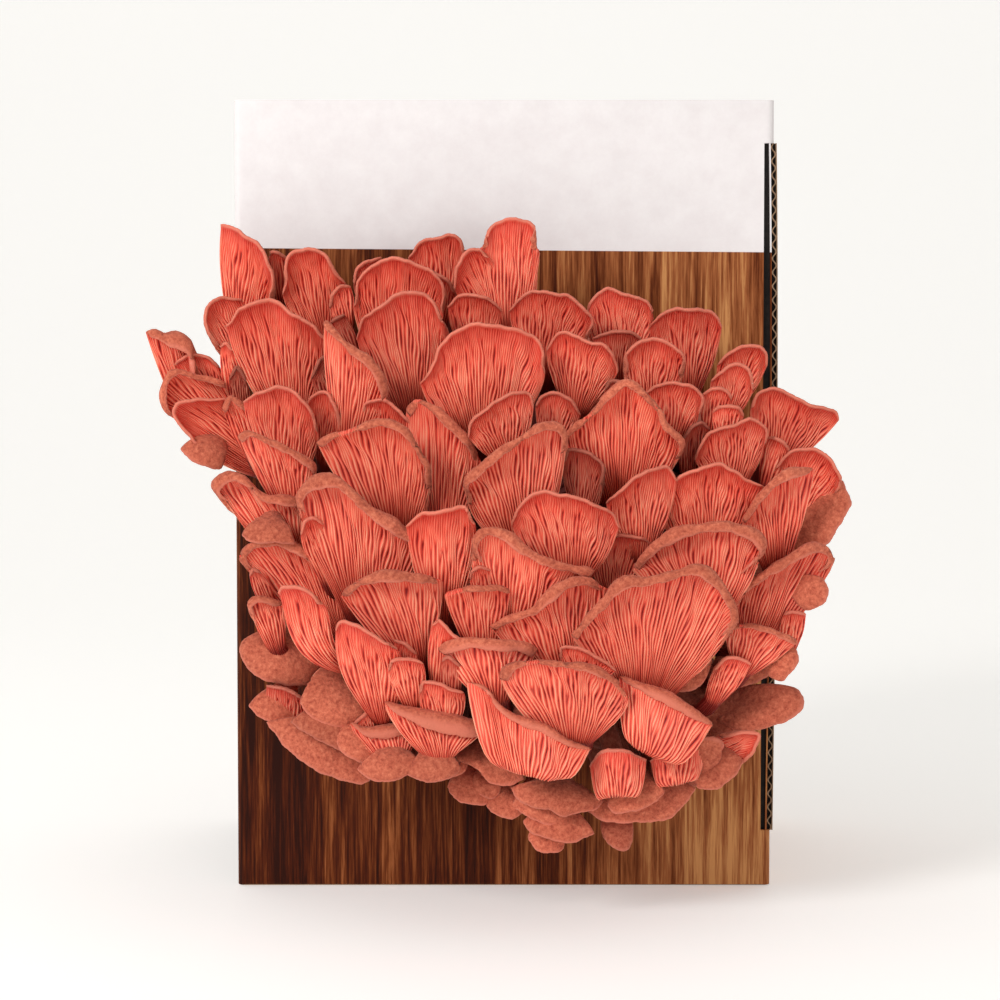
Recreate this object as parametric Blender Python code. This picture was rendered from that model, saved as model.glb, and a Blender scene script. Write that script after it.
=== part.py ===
"""Oyster mushroom grow kit: a cluster of pink oyster mushrooms fruiting out of its carton.

Metres, +Z up. The origin is the middle of the carton's underside and the carton's front
faces -Y. The carton is a folded corrugated board box. It holds a film bag with a block of
spent sawdust, and the fused foot of the cluster comes through a window in its front.
"""
import math

import bmesh
import bpy
from mathutils import Vector
from mathutils.bvhtree import BVHTree

MM = 0.001
GAP = 0.0003                # clearance kept between touching pieces

# Carton
CARTON_WIDTH = 164 * MM
CARTON_DEPTH = 112 * MM
CARTON_HEIGHT = 240 * MM
BOARD = 3 * MM              # corrugated board
FOLD_RADIUS = 2.5 * MM      # rounding of a scored fold
WINDOW_RADIUS = 46 * MM
WINDOW_HEIGHT = 113 * MM    # middle of the window above the table
SLIT_WIDTH = 1.2 * MM       # cut between the front panel and the right side panel
SLIT_BOTTOM = 17 * MM
SLIT_TOP = 227 * MM

# Block and bag
BLOCK_SIDE_ROOM = 3.0 * MM  # room between the block and the board
BLOCK_HEIGHT = 205 * MM
FILM = 0.8 * MM
BAG_TOP_ROOM = 12 * MM
BAG_MOUTH_RADIUS = 41 * MM

# Foot of the cluster
NECK_RADIUS = 39 * MM
FOOT_HALF_WIDTH = 72 * MM
FOOT_HALF_HEIGHT = 62 * MM
FOOT_SWELL = 40 * MM        # how far its middle swells out from its edge
FOOT_DROOP = 0.3            # share by which it swells more below the middle, and less above
FOOT_EDGE = 5 * MM
FOOT_SIDES = 28

# Mushrooms
CLUSTER_SHIFT = -1.1 * MM
CLUSTER_MIDDLE = 121 * MM   # height about which the caps are spread
MID_FRONT = 55 * MM         # a cap this far forward keeps its place in the table
SPREAD = 1.5                # caps further back lie further out: share per metre
SPREAD_DROP = 0.052         # and a little lower, by this share of the difference
STEM_RADIUS = 2.6 * MM
CAP_HALF_THICKNESS = 1.2 * MM
SIDE_SWELL = 0.15           # how far the sides of a cap bow out, as a share of its height
FAN_LEAN = 0.55             # how far a fan leans forwards for its height
SHELF_LEAN = 1.4            # the same for a shelf
ACROSS = 6                  # faces across a cap
ALONG = 4                   # faces from its gills' root to its rim
PUSH = 0.5 * MM             # step by which a mushroom moves clear of its neighbours

FRONT = -CARTON_DEPTH / 2   # plane of the carton's front

# One row for each mushroom, in millimetres. "rim" runs along the edge of the cap from its left
# end to its right end, as (x, z). "root" is where its gills run together. "front" is how far
# the middle of the rim stands in front of the carton, and "wrap" how much less its ends do.
# "hood" is the height of the felt shoulder above the rim, "belly" how far the gills swell
# forwards, "bend" a sideways bow of the stem. A shelf shows its felt side, a fan its gills.
MUSHROOMS = [
    # top row, standing behind the others
    dict(rim=[(-26, 190), (-22, 194), (-17.5, 195.8), (-13.8, 197), (-11, 195), (-9.9, 191.5), (-10.8, 188)],
         root=(-15, 172), front=28, wrap=3),
    dict(rim=[(-79, 199), (-73, 198), (-67, 193), (-64.5, 185), (-64, 178)],
         root=(-73, 166), front=30, wrap=4),
    dict(rim=[(-62, 180), (-60, 189), (-54, 192.5), (-48, 190), (-44, 182)],
         root=(-50, 166), front=34, wrap=6),
    dict(rim=[(-4.7, 190), (-4, 196.5), (-0.5, 199.8), (4.5, 200.8), (9, 199.2), (10, 196), (9.2, 189)],
         root=(3, 165), front=34, wrap=4),
    dict(rim=[(25, 170), (25, 177), (29.5, 180.8), (35, 179.9), (39.5, 179), (43, 175.3), (41, 170)],
         root=(34, 158), front=34, wrap=5),
    dict(rim=[(42, 170), (45.5, 174.5), (51, 176.2), (57, 175.5), (61, 173), (62.7, 170.5)],
         root=(53, 150), front=36, wrap=5),
    dict(rim=[(61.5, 160), (65, 163.7), (69, 166), (72, 165.7), (74.5, 163.5), (75.3, 159)],
         root=(66, 148), front=38, wrap=4),
    dict(rim=[(-80, 165), (-83.5, 171), (-83, 176), (-79, 178.3), (-73, 178.3)],
         root=(-74, 160), front=36, wrap=4),
    dict(rim=[(-41.5, 177), (-39.5, 184.5), (-34, 188.5), (-28.5, 190.6), (-24, 188.5), (-18.5, 185.5),
              (-16.3, 181), (-16, 175)],
         root=(-30, 158), front=40, wrap=7),
    dict(rim=[(-15, 176), (-11.5, 179), (-7, 180.2), (-3, 178.8), (0.5, 175)],
         root=(-7, 160), front=44, wrap=5),
    dict(rim=[(2.5, 174.5), (6, 179), (11.5, 181.2), (18, 179.7), (23, 176), (26, 172.5), (25, 168)],
         root=(13, 158), front=44, wrap=6),
    # upper tier
    dict(rim=[(-92.5, 145), (-94, 150), (-93, 155), (-90, 157), (-84, 155.5), (-78, 153)],
         root=(-76, 140), front=36, wrap=4, hood=1.5),
    dict(rim=[(-78, 171), (-73, 176.5), (-66, 178), (-59, 175), (-52, 171), (-47, 164)],
         root=(-60, 142), front=46, wrap=7),
    dict(rim=[(-41, 167), (-38.5, 173.5), (-33, 177.5), (-26, 180.3), (-20, 178.8), (-16.5, 174), (-14.5, 168)],
         root=(-24, 145), front=50, wrap=8),
    dict(rim=[(13, 164.5), (17, 168.7), (21, 168.3), (25.5, 166.4), (30, 165.9), (32, 162.5), (33, 157)],
         root=(22, 147), front=50, wrap=5),
    dict(rim=[(35, 158), (35.5, 163.5), (39.5, 166.5), (45, 166.5), (50, 165), (52.4, 161.5), (51, 157)],
         root=(43, 145), front=50, wrap=5),
    dict(rim=[(70.5, 148.5), (73, 152), (77.5, 153.3), (83, 150.5), (90, 148.7), (94.5, 147), (96, 144.3)],
         root=(79, 132), front=44, wrap=3),
    dict(rim=[(-84, 134.5), (-89, 141), (-92, 147.5), (-89, 150.5), (-83, 150.5), (-77, 150.3)],
         root=(-69, 131), front=46, wrap=4),
    dict(rim=[(-23, 154.5), (-19.5, 160.5), (-15.5, 167), (-10, 170.3), (-6, 172.3), (0, 171), (7, 169),
              (12, 164.5), (13, 158)],
         root=(-5, 136), front=58, wrap=8, belly=3),
    dict(rim=[(41, 151.5), (44, 154.3), (49, 155.3), (53.5, 154.5), (56.5, 151), (56.5, 146)],
         root=(49, 137), front=54, wrap=5),
    dict(rim=[(-73, 149.5), (-69, 152.5), (-64, 153.7), (-58, 152), (-53.5, 147), (-51.5, 142)],
         root=(-61, 125), front=56, wrap=6, belly=3),
    dict(rim=[(-49, 170), (-46, 166.5), (-41, 161.5), (-37, 158.5), (-34.5, 153.5), (-33.5, 149)],
         root=(-43, 135), front=58, wrap=4, hood=3),
    # middle tier
    dict(rim=[(55, 133), (57.5, 138), (61, 142.3), (66, 143.5), (70.5, 145), (74.5, 142.5), (75, 137.5)],
         root=(66, 125), front=56, wrap=5),
    dict(rim=[(78, 131.5), (81.5, 135), (86, 136.3), (91, 134.7), (95.5, 131), (97, 127.5), (95.5, 123.5)],
         root=(83, 114), front=52, wrap=5),
    dict(rim=[(-9, 139), (-7.5, 145), (-3, 149), (3, 152), (7.5, 151.8), (9.3, 147.5)],
         root=(2, 133), front=62, wrap=4),
    dict(rim=[(18.5, 138), (23, 142.5), (28.5, 147.5), (35, 153.4), (40, 150.5), (44.5, 146.5), (46, 141.5),
              (50.5, 137.5), (50, 132.5)],
         root=(36, 119), front=64, wrap=8, hood=1.5, belly=3),
    dict(rim=[(-51, 136.5), (-46, 139.2), (-39, 141.3), (-32, 142.3), (-26, 138.5), (-21.5, 131.5), (-20.8, 124)],
         root=(-29, 111), front=67, wrap=8, hood=1.5, belly=3),
    dict(rim=[(-25.5, 145), (-23, 148.2), (-19.5, 146.5), (-14.5, 141.5), (-10, 137), (-6.5, 131.5)],
         root=(-16, 110), front=58, wrap=5, hood=2.5),
    dict(rim=[(-73, 138), (-70, 139.2), (-65, 137), (-60, 134.5), (-55, 131), (-53, 128.5)],
         root=(-59, 116), front=62, wrap=4, hood=2),
    dict(rim=[(30, 120.5), (33, 125), (38, 128.5), (43, 130.5), (47, 130.8), (50, 127.5)],
         root=(40, 105), front=68, wrap=5),
    dict(rim=[(-8.5, 119), (-9, 125), (-5, 129), (0, 133.5), (6, 138), (12, 141), (16.5, 140.3), (17.5, 134)],
         root=(6, 107), front=70, wrap=7, hood=2, belly=3),
    dict(rim=[(44.5, 118), (47, 123), (50.5, 128), (55, 131.3), (61, 132.2), (66, 130), (70, 127), (75, 125.8)],
         root=(59, 105), front=65, wrap=7, belly=3),
    dict(rim=[(69.5, 114.5), (72.5, 119.5), (77, 124.8), (82, 127.6), (88, 129)],
         root=(79, 101), front=64, wrap=4, hood=2.2),
    dict(rim=[(-56, 117), (-56.3, 121), (-52, 124.5), (-46, 124.8), (-41.5, 121), (-36, 116), (-29, 111), (-22.5, 107)],
         root=(-39, 88), front=71, wrap=7, hood=3.5, belly=3),
    dict(rim=[(3, 114.5), (5, 120), (10, 123.3), (16, 124), (22, 123), (27, 120.8), (31.5, 117.3), (34, 113.5)],
         root=(20, 97), front=74, wrap=7, belly=4),
    dict(rim=[(-26.5, 114.8), (-23, 117.3), (-17, 119), (-11.5, 120.6), (-9, 119.8), (-7.3, 115.5)],
         root=(-16, 86), front=72, wrap=6, belly=3),
    # lower tier
    dict(rim=[(39.5, 100), (43.5, 105.5), (50, 109.8), (57, 112), (65, 112.2), (71.5, 109.3), (73.5, 105.5),
              (71.5, 102), (67, 98.5)],
         root=(60, 87), front=72, wrap=9, hood=3, belly=4),
    dict(rim=[(65.5, 90.5), (69, 94.5), (74, 98.5), (80, 102), (86, 105.8), (91, 106.3), (93.5, 103.3), (91, 100)],
         root=(73, 79), front=65, wrap=6, hood=3, belly=3),
    dict(rim=[(-70.5, 101.5), (-72.5, 104.5), (-69, 107.6), (-62, 108.2), (-56, 105.5), (-49.5, 100.5), (-42.5, 95.5)],
         root=(-48, 83), front=60, wrap=6, hood=2.5, belly=3),
    dict(rim=[(-6, 103), (-7, 107.5), (-4.5, 111), (0.5, 110.5), (6, 106.3), (13, 102.6), (20, 100.7), (25, 99.5)],
         root=(4, 78), front=77, wrap=6, hood=2.5, belly=4),
    dict(rim=[(-1.5, 84), (4, 86.8), (10, 89), (15, 93.3), (20, 96.7), (25, 96.8), (30, 94.5)],
         root=(19, 69), front=77, wrap=6, hood=2.5, belly=3),
    dict(rim=[(22, 81), (25, 85.5), (30, 91), (35, 96.2), (42, 97.2), (49, 99), (55, 100.3), (61, 96.3),
              (65, 90), (66, 85.5), (63, 82.5)],
         root=(42, 63), front=84, wrap=7, hood=2.5, belly=5),
    dict(rim=[(-44, 93), (-40, 96.6), (-34, 98.2), (-28, 98.4), (-22, 97.7), (-17.5, 97)],
         root=(-24, 73), front=76, wrap=6, hood=2.5, belly=2),
    dict(rim=[(-63.3, 95.3), (-61.5, 97.2), (-58, 96.8), (-54, 95.5), (-51, 93)],
         root=(-42, 72), front=76, wrap=3, belly=6, bend=(-8, -6)),
    dict(rim=[(-73.5, 81), (-74, 77), (-70.5, 72), (-65, 70), (-59, 68.8), (-54, 69), (-50, 72)],
         root=(-61, 84), front=54, wrap=6, belly=5, shelf=True),
    dict(rim=[(-47, 84.5), (-45, 87.3), (-41, 86.3), (-36, 83.8), (-31.5, 81.8), (-29.5, 79.5)],
         root=(-34, 57), front=78, wrap=4, belly=6),
    dict(rim=[(-16, 77), (-12, 78.6), (-7, 79.2), (-1, 78.5), (5, 78.2), (9, 76.5)],
         root=(-1, 63), front=78, wrap=6, hood=3.5, belly=3),
    dict(rim=[(64.5, 84), (69, 85.4), (75, 84.3), (80, 82.2), (83.5, 80.3)],
         root=(69, 72), front=70, wrap=4, hood=1),
    dict(rim=[(61.5, 59), (67, 56.5), (73, 56), (79, 58), (84.5, 60.5), (86.5, 64), (85, 67.5)],
         root=(65, 63), front=54, wrap=5, belly=5, shelf=True),
    # bottom tier
    dict(rim=[(2, 69.5), (4, 72.8), (9, 74.8), (16, 74.5), (23, 73.3), (29, 71), (33.5, 67.5), (35.2, 63)],
         root=(21, 51), front=84, wrap=7, hood=1.2, belly=5),
    dict(rim=[(35, 69.3), (41, 66.3), (47, 63.5), (53, 60), (58.5, 57)],
         root=(43, 55), front=77, wrap=4, hood=3, belly=5, bend=(-3, -18)),
    dict(rim=[(-7.5, 68.5), (-3.5, 66.5), (0, 61.5), (5, 57.8), (11, 55.5), (17, 52.3), (24, 50)],
         root=(8, 51), front=80, wrap=5, hood=2.5, belly=6, bend=(0, -20)),
    dict(rim=[(26, 45), (28, 49.7), (32, 51), (37, 50), (41.5, 47)],
         root=(33, 43), front=71, wrap=4, belly=5, bend=(0, -16)),
    dict(rim=[(43, 46.5), (46, 50), (50.5, 52.3), (55, 53), (58, 51.5)],
         root=(50, 45), front=66, wrap=4, belly=4, bend=(0, -12)),
    dict(rim=[(-14, 48), (-9.5, 46.5), (-5.5, 44.5), (-3, 41.3), (1.5, 40), (7, 41.5)],
         root=(-8, 51), front=64, wrap=4, belly=4, shelf=True),
    dict(rim=[(2.5, 39.5), (5, 36), (9, 33.8), (14, 33.3), (18, 31.5), (23, 32.8), (27, 33), (30, 35.5)],
         root=(17, 41), front=64, wrap=4, belly=5, shelf=True),
]


def clear_scene():
    for leftover in list(bpy.data.objects):
        bpy.data.objects.remove(leftover, do_unlink=True)


def finish_material(name, colour, roughness):
    material = bpy.data.materials.new(name)
    material.use_nodes = True
    shader = material.node_tree.nodes["Principled BSDF"]
    shader.inputs["Base Color"].default_value = (*colour, 1.0)
    shader.inputs["Roughness"].default_value = roughness
    shader.inputs["Metallic"].default_value = 0.0
    return material


def add_object(name, bm, material):
    bmesh.ops.recalc_face_normals(bm, faces=bm.faces)
    mesh = bpy.data.meshes.new(name)
    bm.to_mesh(mesh)
    bm.free()
    mesh.materials.append(material)
    obj = bpy.data.objects.new(name, mesh)
    bpy.context.scene.collection.objects.link(obj)
    return obj


def box(name, low, high, material):
    bm = bmesh.new()
    bmesh.ops.create_cube(bm, size=1.0)
    low, high = Vector(low), Vector(high)
    bmesh.ops.scale(bm, vec=high - low, verts=bm.verts)
    bmesh.ops.translate(bm, vec=(low + high) / 2, verts=bm.verts)
    return add_object(name, bm, material)


def drum(name, radius, low_y, high_y, height, sides, material):
    """A round cutter lying along Y."""
    bm = bmesh.new()
    bmesh.ops.create_cone(bm, cap_ends=True, segments=sides, radius1=radius, radius2=radius,
                          depth=high_y - low_y)
    for vert in bm.verts:
        x, y, z = vert.co
        vert.co = (x, (low_y + high_y) / 2 + z, height - y)
    return add_object(name, bm, material)


def cut(body, cutter):
    cutter.hide_render = True
    cutter.display_type = "WIRE"
    modifier = body.modifiers.new("cut_" + cutter.name, "BOOLEAN")
    modifier.operation = "DIFFERENCE"
    modifier.solver = "EXACT"
    modifier.object = cutter


def round_vertical_edges(obj, radius, segments):
    mesh = obj.data
    bm = bmesh.new()
    bm.from_mesh(mesh)
    upright = [e for e in bm.edges if abs((e.verts[0].co - e.verts[1].co).normalized().z) > 0.99]
    bmesh.ops.bevel(bm, geom=upright, offset=radius, segments=segments, affect="EDGES")
    bm.to_mesh(mesh)
    bm.free()


def build_carton():
    board = finish_material("printed_board", (0.16, 0.08, 0.045), 0.6)
    half_w, half_d = CARTON_WIDTH / 2, CARTON_DEPTH / 2
    carton = box("carton", (-half_w, -half_d, 0), (half_w, half_d, CARTON_HEIGHT), board)
    round_vertical_edges(carton, FOLD_RADIUS, 2)
    inside = box("carton_inside", (BOARD - half_w, BOARD - half_d, BOARD),
                 (half_w - BOARD, half_d - BOARD, CARTON_HEIGHT - BOARD), board)
    window = drum("carton_window", WINDOW_RADIUS, -half_d - BOARD, BOARD * 2 - half_d,
                  WINDOW_HEIGHT, 24, board)
    slit_right = half_w - BOARD + SLIT_WIDTH / 2
    slit = box("carton_slit", (slit_right - SLIT_WIDTH, -half_d - BOARD, SLIT_BOTTOM),
               (slit_right, BOARD * 2 - half_d, SLIT_TOP), board)
    for cutter in (inside, window, slit):
        cut(carton, cutter)


def build_block_and_bag():
    sawdust = finish_material("colonised_sawdust", (0.62, 0.52, 0.40), 0.9)
    film = finish_material("bag_film", (0.85, 0.86, 0.86), 0.3)
    room = BOARD + BLOCK_SIDE_ROOM
    half_w, half_d = CARTON_WIDTH / 2 - room, CARTON_DEPTH / 2 - room
    floor = BOARD + GAP + FILM + GAP
    block = box("substrate_block", (-half_w, -half_d, floor), (half_w, half_d, floor + BLOCK_HEIGHT), sawdust)
    round_vertical_edges(block, 8 * MM, 3)
    skin = GAP + FILM
    bag = box("grow_bag", (-half_w - skin, -half_d - skin, BOARD + GAP),
              (half_w + skin, half_d + skin, floor + BLOCK_HEIGHT + BAG_TOP_ROOM), film)
    round_vertical_edges(bag, 8 * MM + skin, 3)
    hollow = box("bag_hollow", (-half_w - GAP, -half_d - GAP, BOARD + GAP + FILM),
                 (half_w + GAP, half_d + GAP, floor + BLOCK_HEIGHT + BAG_TOP_ROOM - FILM), film)
    round_vertical_edges(hollow, 8 * MM + GAP, 3)
    mouth = drum("bag_mouth", BAG_MOUTH_RADIUS, -half_d - 4 * skin, -half_d + FILM, WINDOW_HEIGHT, 20, film)
    for cutter in (hollow, mouth):
        cut(bag, cutter)


def foot_rise(x, z):
    """How far the foot stands in front of the carton at a point of its front view."""
    up = (z - WINDOW_HEIGHT) / FOOT_HALF_HEIGHT
    out = math.hypot(x / FOOT_HALF_WIDTH, up)
    if out >= 1.0:
        return FOOT_EDGE
    return FOOT_EDGE + FOOT_SWELL * math.sqrt(1.0 - out * out) * (1.0 - FOOT_DROOP * up)


def build_foot():
    """The fused foot: a neck on the block that spreads behind the caps like a root plate."""
    flesh = finish_material("pale_flesh", (0.80, 0.42, 0.32), 0.6)
    block_front = FRONT + BOARD + BLOCK_SIDE_ROOM
    bm = bmesh.new()
    rings = [(NECK_RADIUS, NECK_RADIUS, block_front - GAP), (NECK_RADIUS, NECK_RADIUS, FRONT - 2 * MM),
             (0.98 * FOOT_HALF_WIDTH, 0.98 * FOOT_HALF_HEIGHT, FRONT - 2 * MM)]
    rings += [(out * FOOT_HALF_WIDTH, out * FOOT_HALF_HEIGHT, None) for out in (1.0, 0.93, 0.8, 0.62, 0.42, 0.2)]
    loops = []
    for half_width, half_height, y in rings:
        loop = []
        for k in range(FOOT_SIDES):
            a = 2 * math.pi * k / FOOT_SIDES
            x, z = half_width * math.cos(a), WINDOW_HEIGHT + half_height * math.sin(a)
            loop.append(bm.verts.new((x, FRONT - foot_rise(x, z) if y is None else y, z)))
        loops.append(loop)
    for inner, outer in zip(loops, loops[1:]):
        for k in range(FOOT_SIDES):
            after = (k + 1) % FOOT_SIDES
            bm.faces.new((inner[k], inner[after], outer[after], outer[k]))
    bm.faces.new(loops[0])
    bm.faces.new(loops[-1])
    bmesh.ops.triangulate(bm, faces=bm.faces)
    foot_tree = BVHTree.FromBMesh(bm)
    add_object("cluster_base", bm, flesh)
    return foot_tree


def along_curve(points, t):
    """A point of the smooth curve through the points, t from 0 to 1 by length."""
    lengths = [0.0]
    for a, b in zip(points, points[1:]):
        lengths.append(lengths[-1] + (b - a).length)
    want = t * lengths[-1]
    k = 0
    while k < len(points) - 2 and want > lengths[k + 1]:
        k += 1
    s = (want - lengths[k]) / (lengths[k + 1] - lengths[k])
    p1, p2 = points[k], points[k + 1]
    p0 = points[k - 1] if k > 0 else p1 * 2 - p2
    p3 = points[k + 2] if k + 2 < len(points) else p2 * 2 - p1
    return 0.5 * (2 * p1 + (p2 - p0) * s + (2 * p0 - 5 * p1 + 4 * p2 - p3) * s ** 2
                  + (3 * p1 - p0 - 3 * p2 + p3) * s ** 3)


def bezier(p0, p1, p2, p3, t):
    r = 1.0 - t
    return p0 * r ** 3 + p1 * 3 * r * r * t + p2 * 3 * r * t * t + p3 * t ** 3


def layout(row):
    """The rim, its middle, the root, and the direction across a mushroom, in its front view."""
    back = MID_FRONT - row["front"] * MM
    spread, drop = 1 + SPREAD * back, SPREAD_DROP * back

    def spread_out(x, z):
        return Vector(((x * MM + CLUSTER_SHIFT) * spread, 0,
                       CLUSTER_MIDDLE + (z * MM - CLUSTER_MIDDLE) * spread - drop))

    rim = [spread_out(x, z) for x, z in row["rim"]]
    root = spread_out(*row["root"])
    middle = along_curve(rim, 0.5)
    axis = (middle - root).normalized()
    across = Vector((axis.z, 0, -axis.x))
    if across.dot(rim[-1] - rim[0]) < 0:
        across.negate()
    return rim, middle, root, across


def stem_end_rise(row):
    """How far in front of the carton a stem meets the foot."""
    root = layout(row)[2]
    around = [foot_rise(root.x + dx, root.z + dz) for dx in (-STEM_RADIUS, 0, STEM_RADIUS)
              for dz in (-STEM_RADIUS, 0, STEM_RADIUS)]
    return max(around) + 2 * GAP


def cap_point(row, u, v):
    """The middle surface of a mushroom: u from -1 to 1 across it, v from 0 at the root to 1."""
    rim, middle, root, across = layout(row)
    end = along_curve(rim, (u + 1) / 2)
    start = root + across * STEM_RADIUS * u
    reach = end - start
    way = reach.normalized()
    hood = row.get("hood", 0) * MM
    belly = row.get("belly", 1.5) * MM
    lean = (SHELF_LEAN if row.get("shelf") else FAN_LEAN) * (middle - root).length
    start_rise = max(stem_end_rise(row) + STEM_RADIUS, row["front"] * MM - lean)
    end_rise = (row["front"] - row["wrap"] * u * u) * MM
    climb = end_rise - start_rise
    bend = Vector((row.get("bend", (0, 0))[0] * MM, 0, row.get("bend", (0, 0))[1] * MM))
    if row.get("shelf"):
        first, second = start + reach * 0.1, end - reach * 0.35
        first_rise, second_rise = start_rise + 0.7 * climb + belly, end_rise + 0.4 * belly
    else:
        first, second = start + reach * 0.4 + bend, end - reach * 0.15 + way * 1.4 * hood
        first_rise = start_rise + 0.35 * climb + belly
        second_rise = end_rise - 0.45 * climb - 0.4 * hood
        if hood == 0:
            second_rise = end_rise - 0.35 * climb
        second_rise += 0.5 * belly
    place = bezier(start, first, second, end, v)
    place += across * SIDE_SWELL * reach.length * math.sin(math.pi * v) * u * math.sqrt(abs(u))
    rise = bezier(start_rise, first_rise, second_rise, end_rise, v)
    place.y = FRONT - rise
    return place


def cap_normal(row, u, v):
    """The unit normal of the middle surface."""
    across = cap_point(row, min(u + 0.02, 1), v) - cap_point(row, max(u - 0.02, -1), v)
    along = cap_point(row, u, min(v + 0.02, 1)) - cap_point(row, u, max(v - 0.02, 0))
    return across.cross(along).normalized()


def cap_half_thickness(u, v):
    stem_share = (1 - v) ** 3
    body = STEM_RADIUS * stem_share + CAP_HALF_THICKNESS * (1 - stem_share) * (1 - v ** 5)
    return body * math.sqrt(max(0.0, 1 - u * u))


def stem_end_ring(row, u):
    """A point of the stem's end on the foot, and half its thickness towards the gills."""
    _, _, root, across = layout(row)
    place = root + across * STEM_RADIUS * u
    place.y = FRONT - stem_end_rise(row)
    return place, across.cross(Vector((0, -1, 0))) * STEM_RADIUS * math.sqrt(max(0.0, 1 - u * u))


def mushroom_body(row, forward):
    """A stem that runs straight back to the foot, and the cap, moved forwards."""
    bm = bmesh.new()
    turns = [math.sin((i / ACROSS - 0.5) * math.pi) for i in range(ACROSS + 1)]
    rings = []
    if -cap_point(row, 0, 0).y + FRONT > stem_end_rise(row) + 2 * STEM_RADIUS:
        rings.append([stem_end_ring(row, u) for u in turns])
    for j in range(ALONG + 1):
        v = j / ALONG
        rings.append([(cap_point(row, u, v), cap_normal(row, u, v) * cap_half_thickness(u, v)) for u in turns])
    near, far = [], []
    for ring in rings:
        near_row, far_row = [], []
        for i, (place, half) in enumerate(ring):
            place = place + Vector((0, -forward, 0))
            if i in (0, ACROSS) or ring is rings[-1]:
                edge_vert = bm.verts.new(place)
                near_row.append(edge_vert)
                far_row.append(edge_vert)
            else:
                near_row.append(bm.verts.new(place + half))
                far_row.append(bm.verts.new(place - half))
        near.append(near_row)
        far.append(far_row)
    for sheet in (near, far):
        for low, high in zip(sheet, sheet[1:]):
            for i in range(ACROSS):
                bm.faces.new((low[i], low[i + 1], high[i + 1], high[i]))
    bm.faces.new(near[0] + far[0][-2:0:-1])
    bmesh.ops.triangulate(bm, faces=bm.faces)
    return bm


def build_mushrooms(foot_tree):
    gills = finish_material("gill_flesh", (0.80, 0.20, 0.14), 0.55)
    felt = finish_material("cap_felt", (0.50, 0.17, 0.11), 0.8)
    placed = [foot_tree]
    order = sorted(range(len(MUSHROOMS)), key=lambda k: MUSHROOMS[k]["front"])
    for k in order:
        row = MUSHROOMS[k]
        forward = 0.0
        while True:
            bm = mushroom_body(row, forward)
            tree = BVHTree.FromBMesh(bm)
            if not any(tree.overlap(other) for other in placed):
                break
            bm.free()
            forward += PUSH
        placed.append(tree)
        add_object("mushroom_%02d" % (k + 1), bm, felt if row.get("shelf") else gills)


clear_scene()
build_carton()
build_block_and_bag()
build_mushrooms(build_foot())
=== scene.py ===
"""Looks of the oyster mushroom grow kit: a carton with a cluster of pink oyster mushrooms
fruiting through its front. Metres, +Z up, the carton's front faces -Y."""
import math

import bmesh
import bpy
import numpy as np
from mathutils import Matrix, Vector, noise


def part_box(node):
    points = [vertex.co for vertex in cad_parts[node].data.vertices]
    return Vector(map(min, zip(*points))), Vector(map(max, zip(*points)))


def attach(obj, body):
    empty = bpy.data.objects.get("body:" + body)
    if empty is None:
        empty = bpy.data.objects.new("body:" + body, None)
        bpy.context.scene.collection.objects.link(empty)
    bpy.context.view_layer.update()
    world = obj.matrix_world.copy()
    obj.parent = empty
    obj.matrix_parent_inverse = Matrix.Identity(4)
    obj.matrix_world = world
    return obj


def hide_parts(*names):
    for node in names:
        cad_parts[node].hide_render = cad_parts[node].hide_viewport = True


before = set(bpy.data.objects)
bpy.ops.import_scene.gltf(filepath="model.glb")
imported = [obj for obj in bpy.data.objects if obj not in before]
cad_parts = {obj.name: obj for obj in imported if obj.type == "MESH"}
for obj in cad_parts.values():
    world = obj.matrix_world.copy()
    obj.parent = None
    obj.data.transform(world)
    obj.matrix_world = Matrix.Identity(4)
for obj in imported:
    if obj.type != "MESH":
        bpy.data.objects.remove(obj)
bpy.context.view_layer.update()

MM = 0.001


# ---------------------------------------------------------------- carton
# A folded corrugated board box, printed on its outside with a white band over dark planks.
# The front panel has been cut free of the side panel down the right-hand edge, so the raw
# end of the board shows there. The four flaps close over the top and are glued underneath.
carton_low, carton_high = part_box("carton")
BOARD = 3 * MM
FOLD = 2.5 * MM
FLAP_GAP = 0.8 * MM         # seam between the two outer flaps
WINDOW_RADIUS = 46 * MM
WINDOW_HEIGHT = 113 * MM
CUT_LEFT, CUT_RIGHT = 78.9 * MM, 80.6 * MM
CUT_BOTTOM, CUT_TOP = 17 * MM, 227 * MM
FLUTE_PITCH = 4.2 * MM
BAND_BOTTOM = 194.6 * MM    # lower edge of the white band
BAND_SLOPE = 0.008


def deselect_all():
    if bpy.context.object and bpy.context.object.mode != "OBJECT":
        bpy.ops.object.mode_set(mode="OBJECT")
    bpy.ops.object.select_all(action="DESELECT")


def make_active(piece):
    deselect_all()
    bpy.context.view_layer.objects.active = piece
    piece.select_set(True)


def start_from(add, name, scale=None, **settings):
    """A primitive at its size and place, with that place taken into its mesh."""
    deselect_all()
    add(**settings)
    piece = bpy.context.object
    piece.name = piece.data.name = name
    if scale:
        piece.scale = scale
    bpy.ops.object.transform_apply(location=True, rotation=True, scale=True)
    return piece


def block(name, low, high):
    low, high = Vector(low), Vector(high)
    return start_from(bpy.ops.mesh.primitive_cube_add, name, scale=high - low, size=1.0,
                      location=(low + high) / 2)


def choose(piece, edges=None, faces=None):
    """Goes into edit mode with only the chosen edges or faces selected."""
    make_active(piece)
    bpy.ops.object.mode_set(mode="EDIT")
    bpy.ops.mesh.select_all(action="DESELECT")
    bpy.ops.mesh.select_mode(type="EDGE" if edges else "FACE")
    bm = bmesh.from_edit_mesh(piece.data)
    for element in bm.edges if edges else bm.faces:
        element.select_set(bool((edges or faces)(element)))
    bmesh.update_edit_mesh(piece.data)


def leave_edit():
    bpy.ops.object.mode_set(mode="OBJECT")


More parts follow.
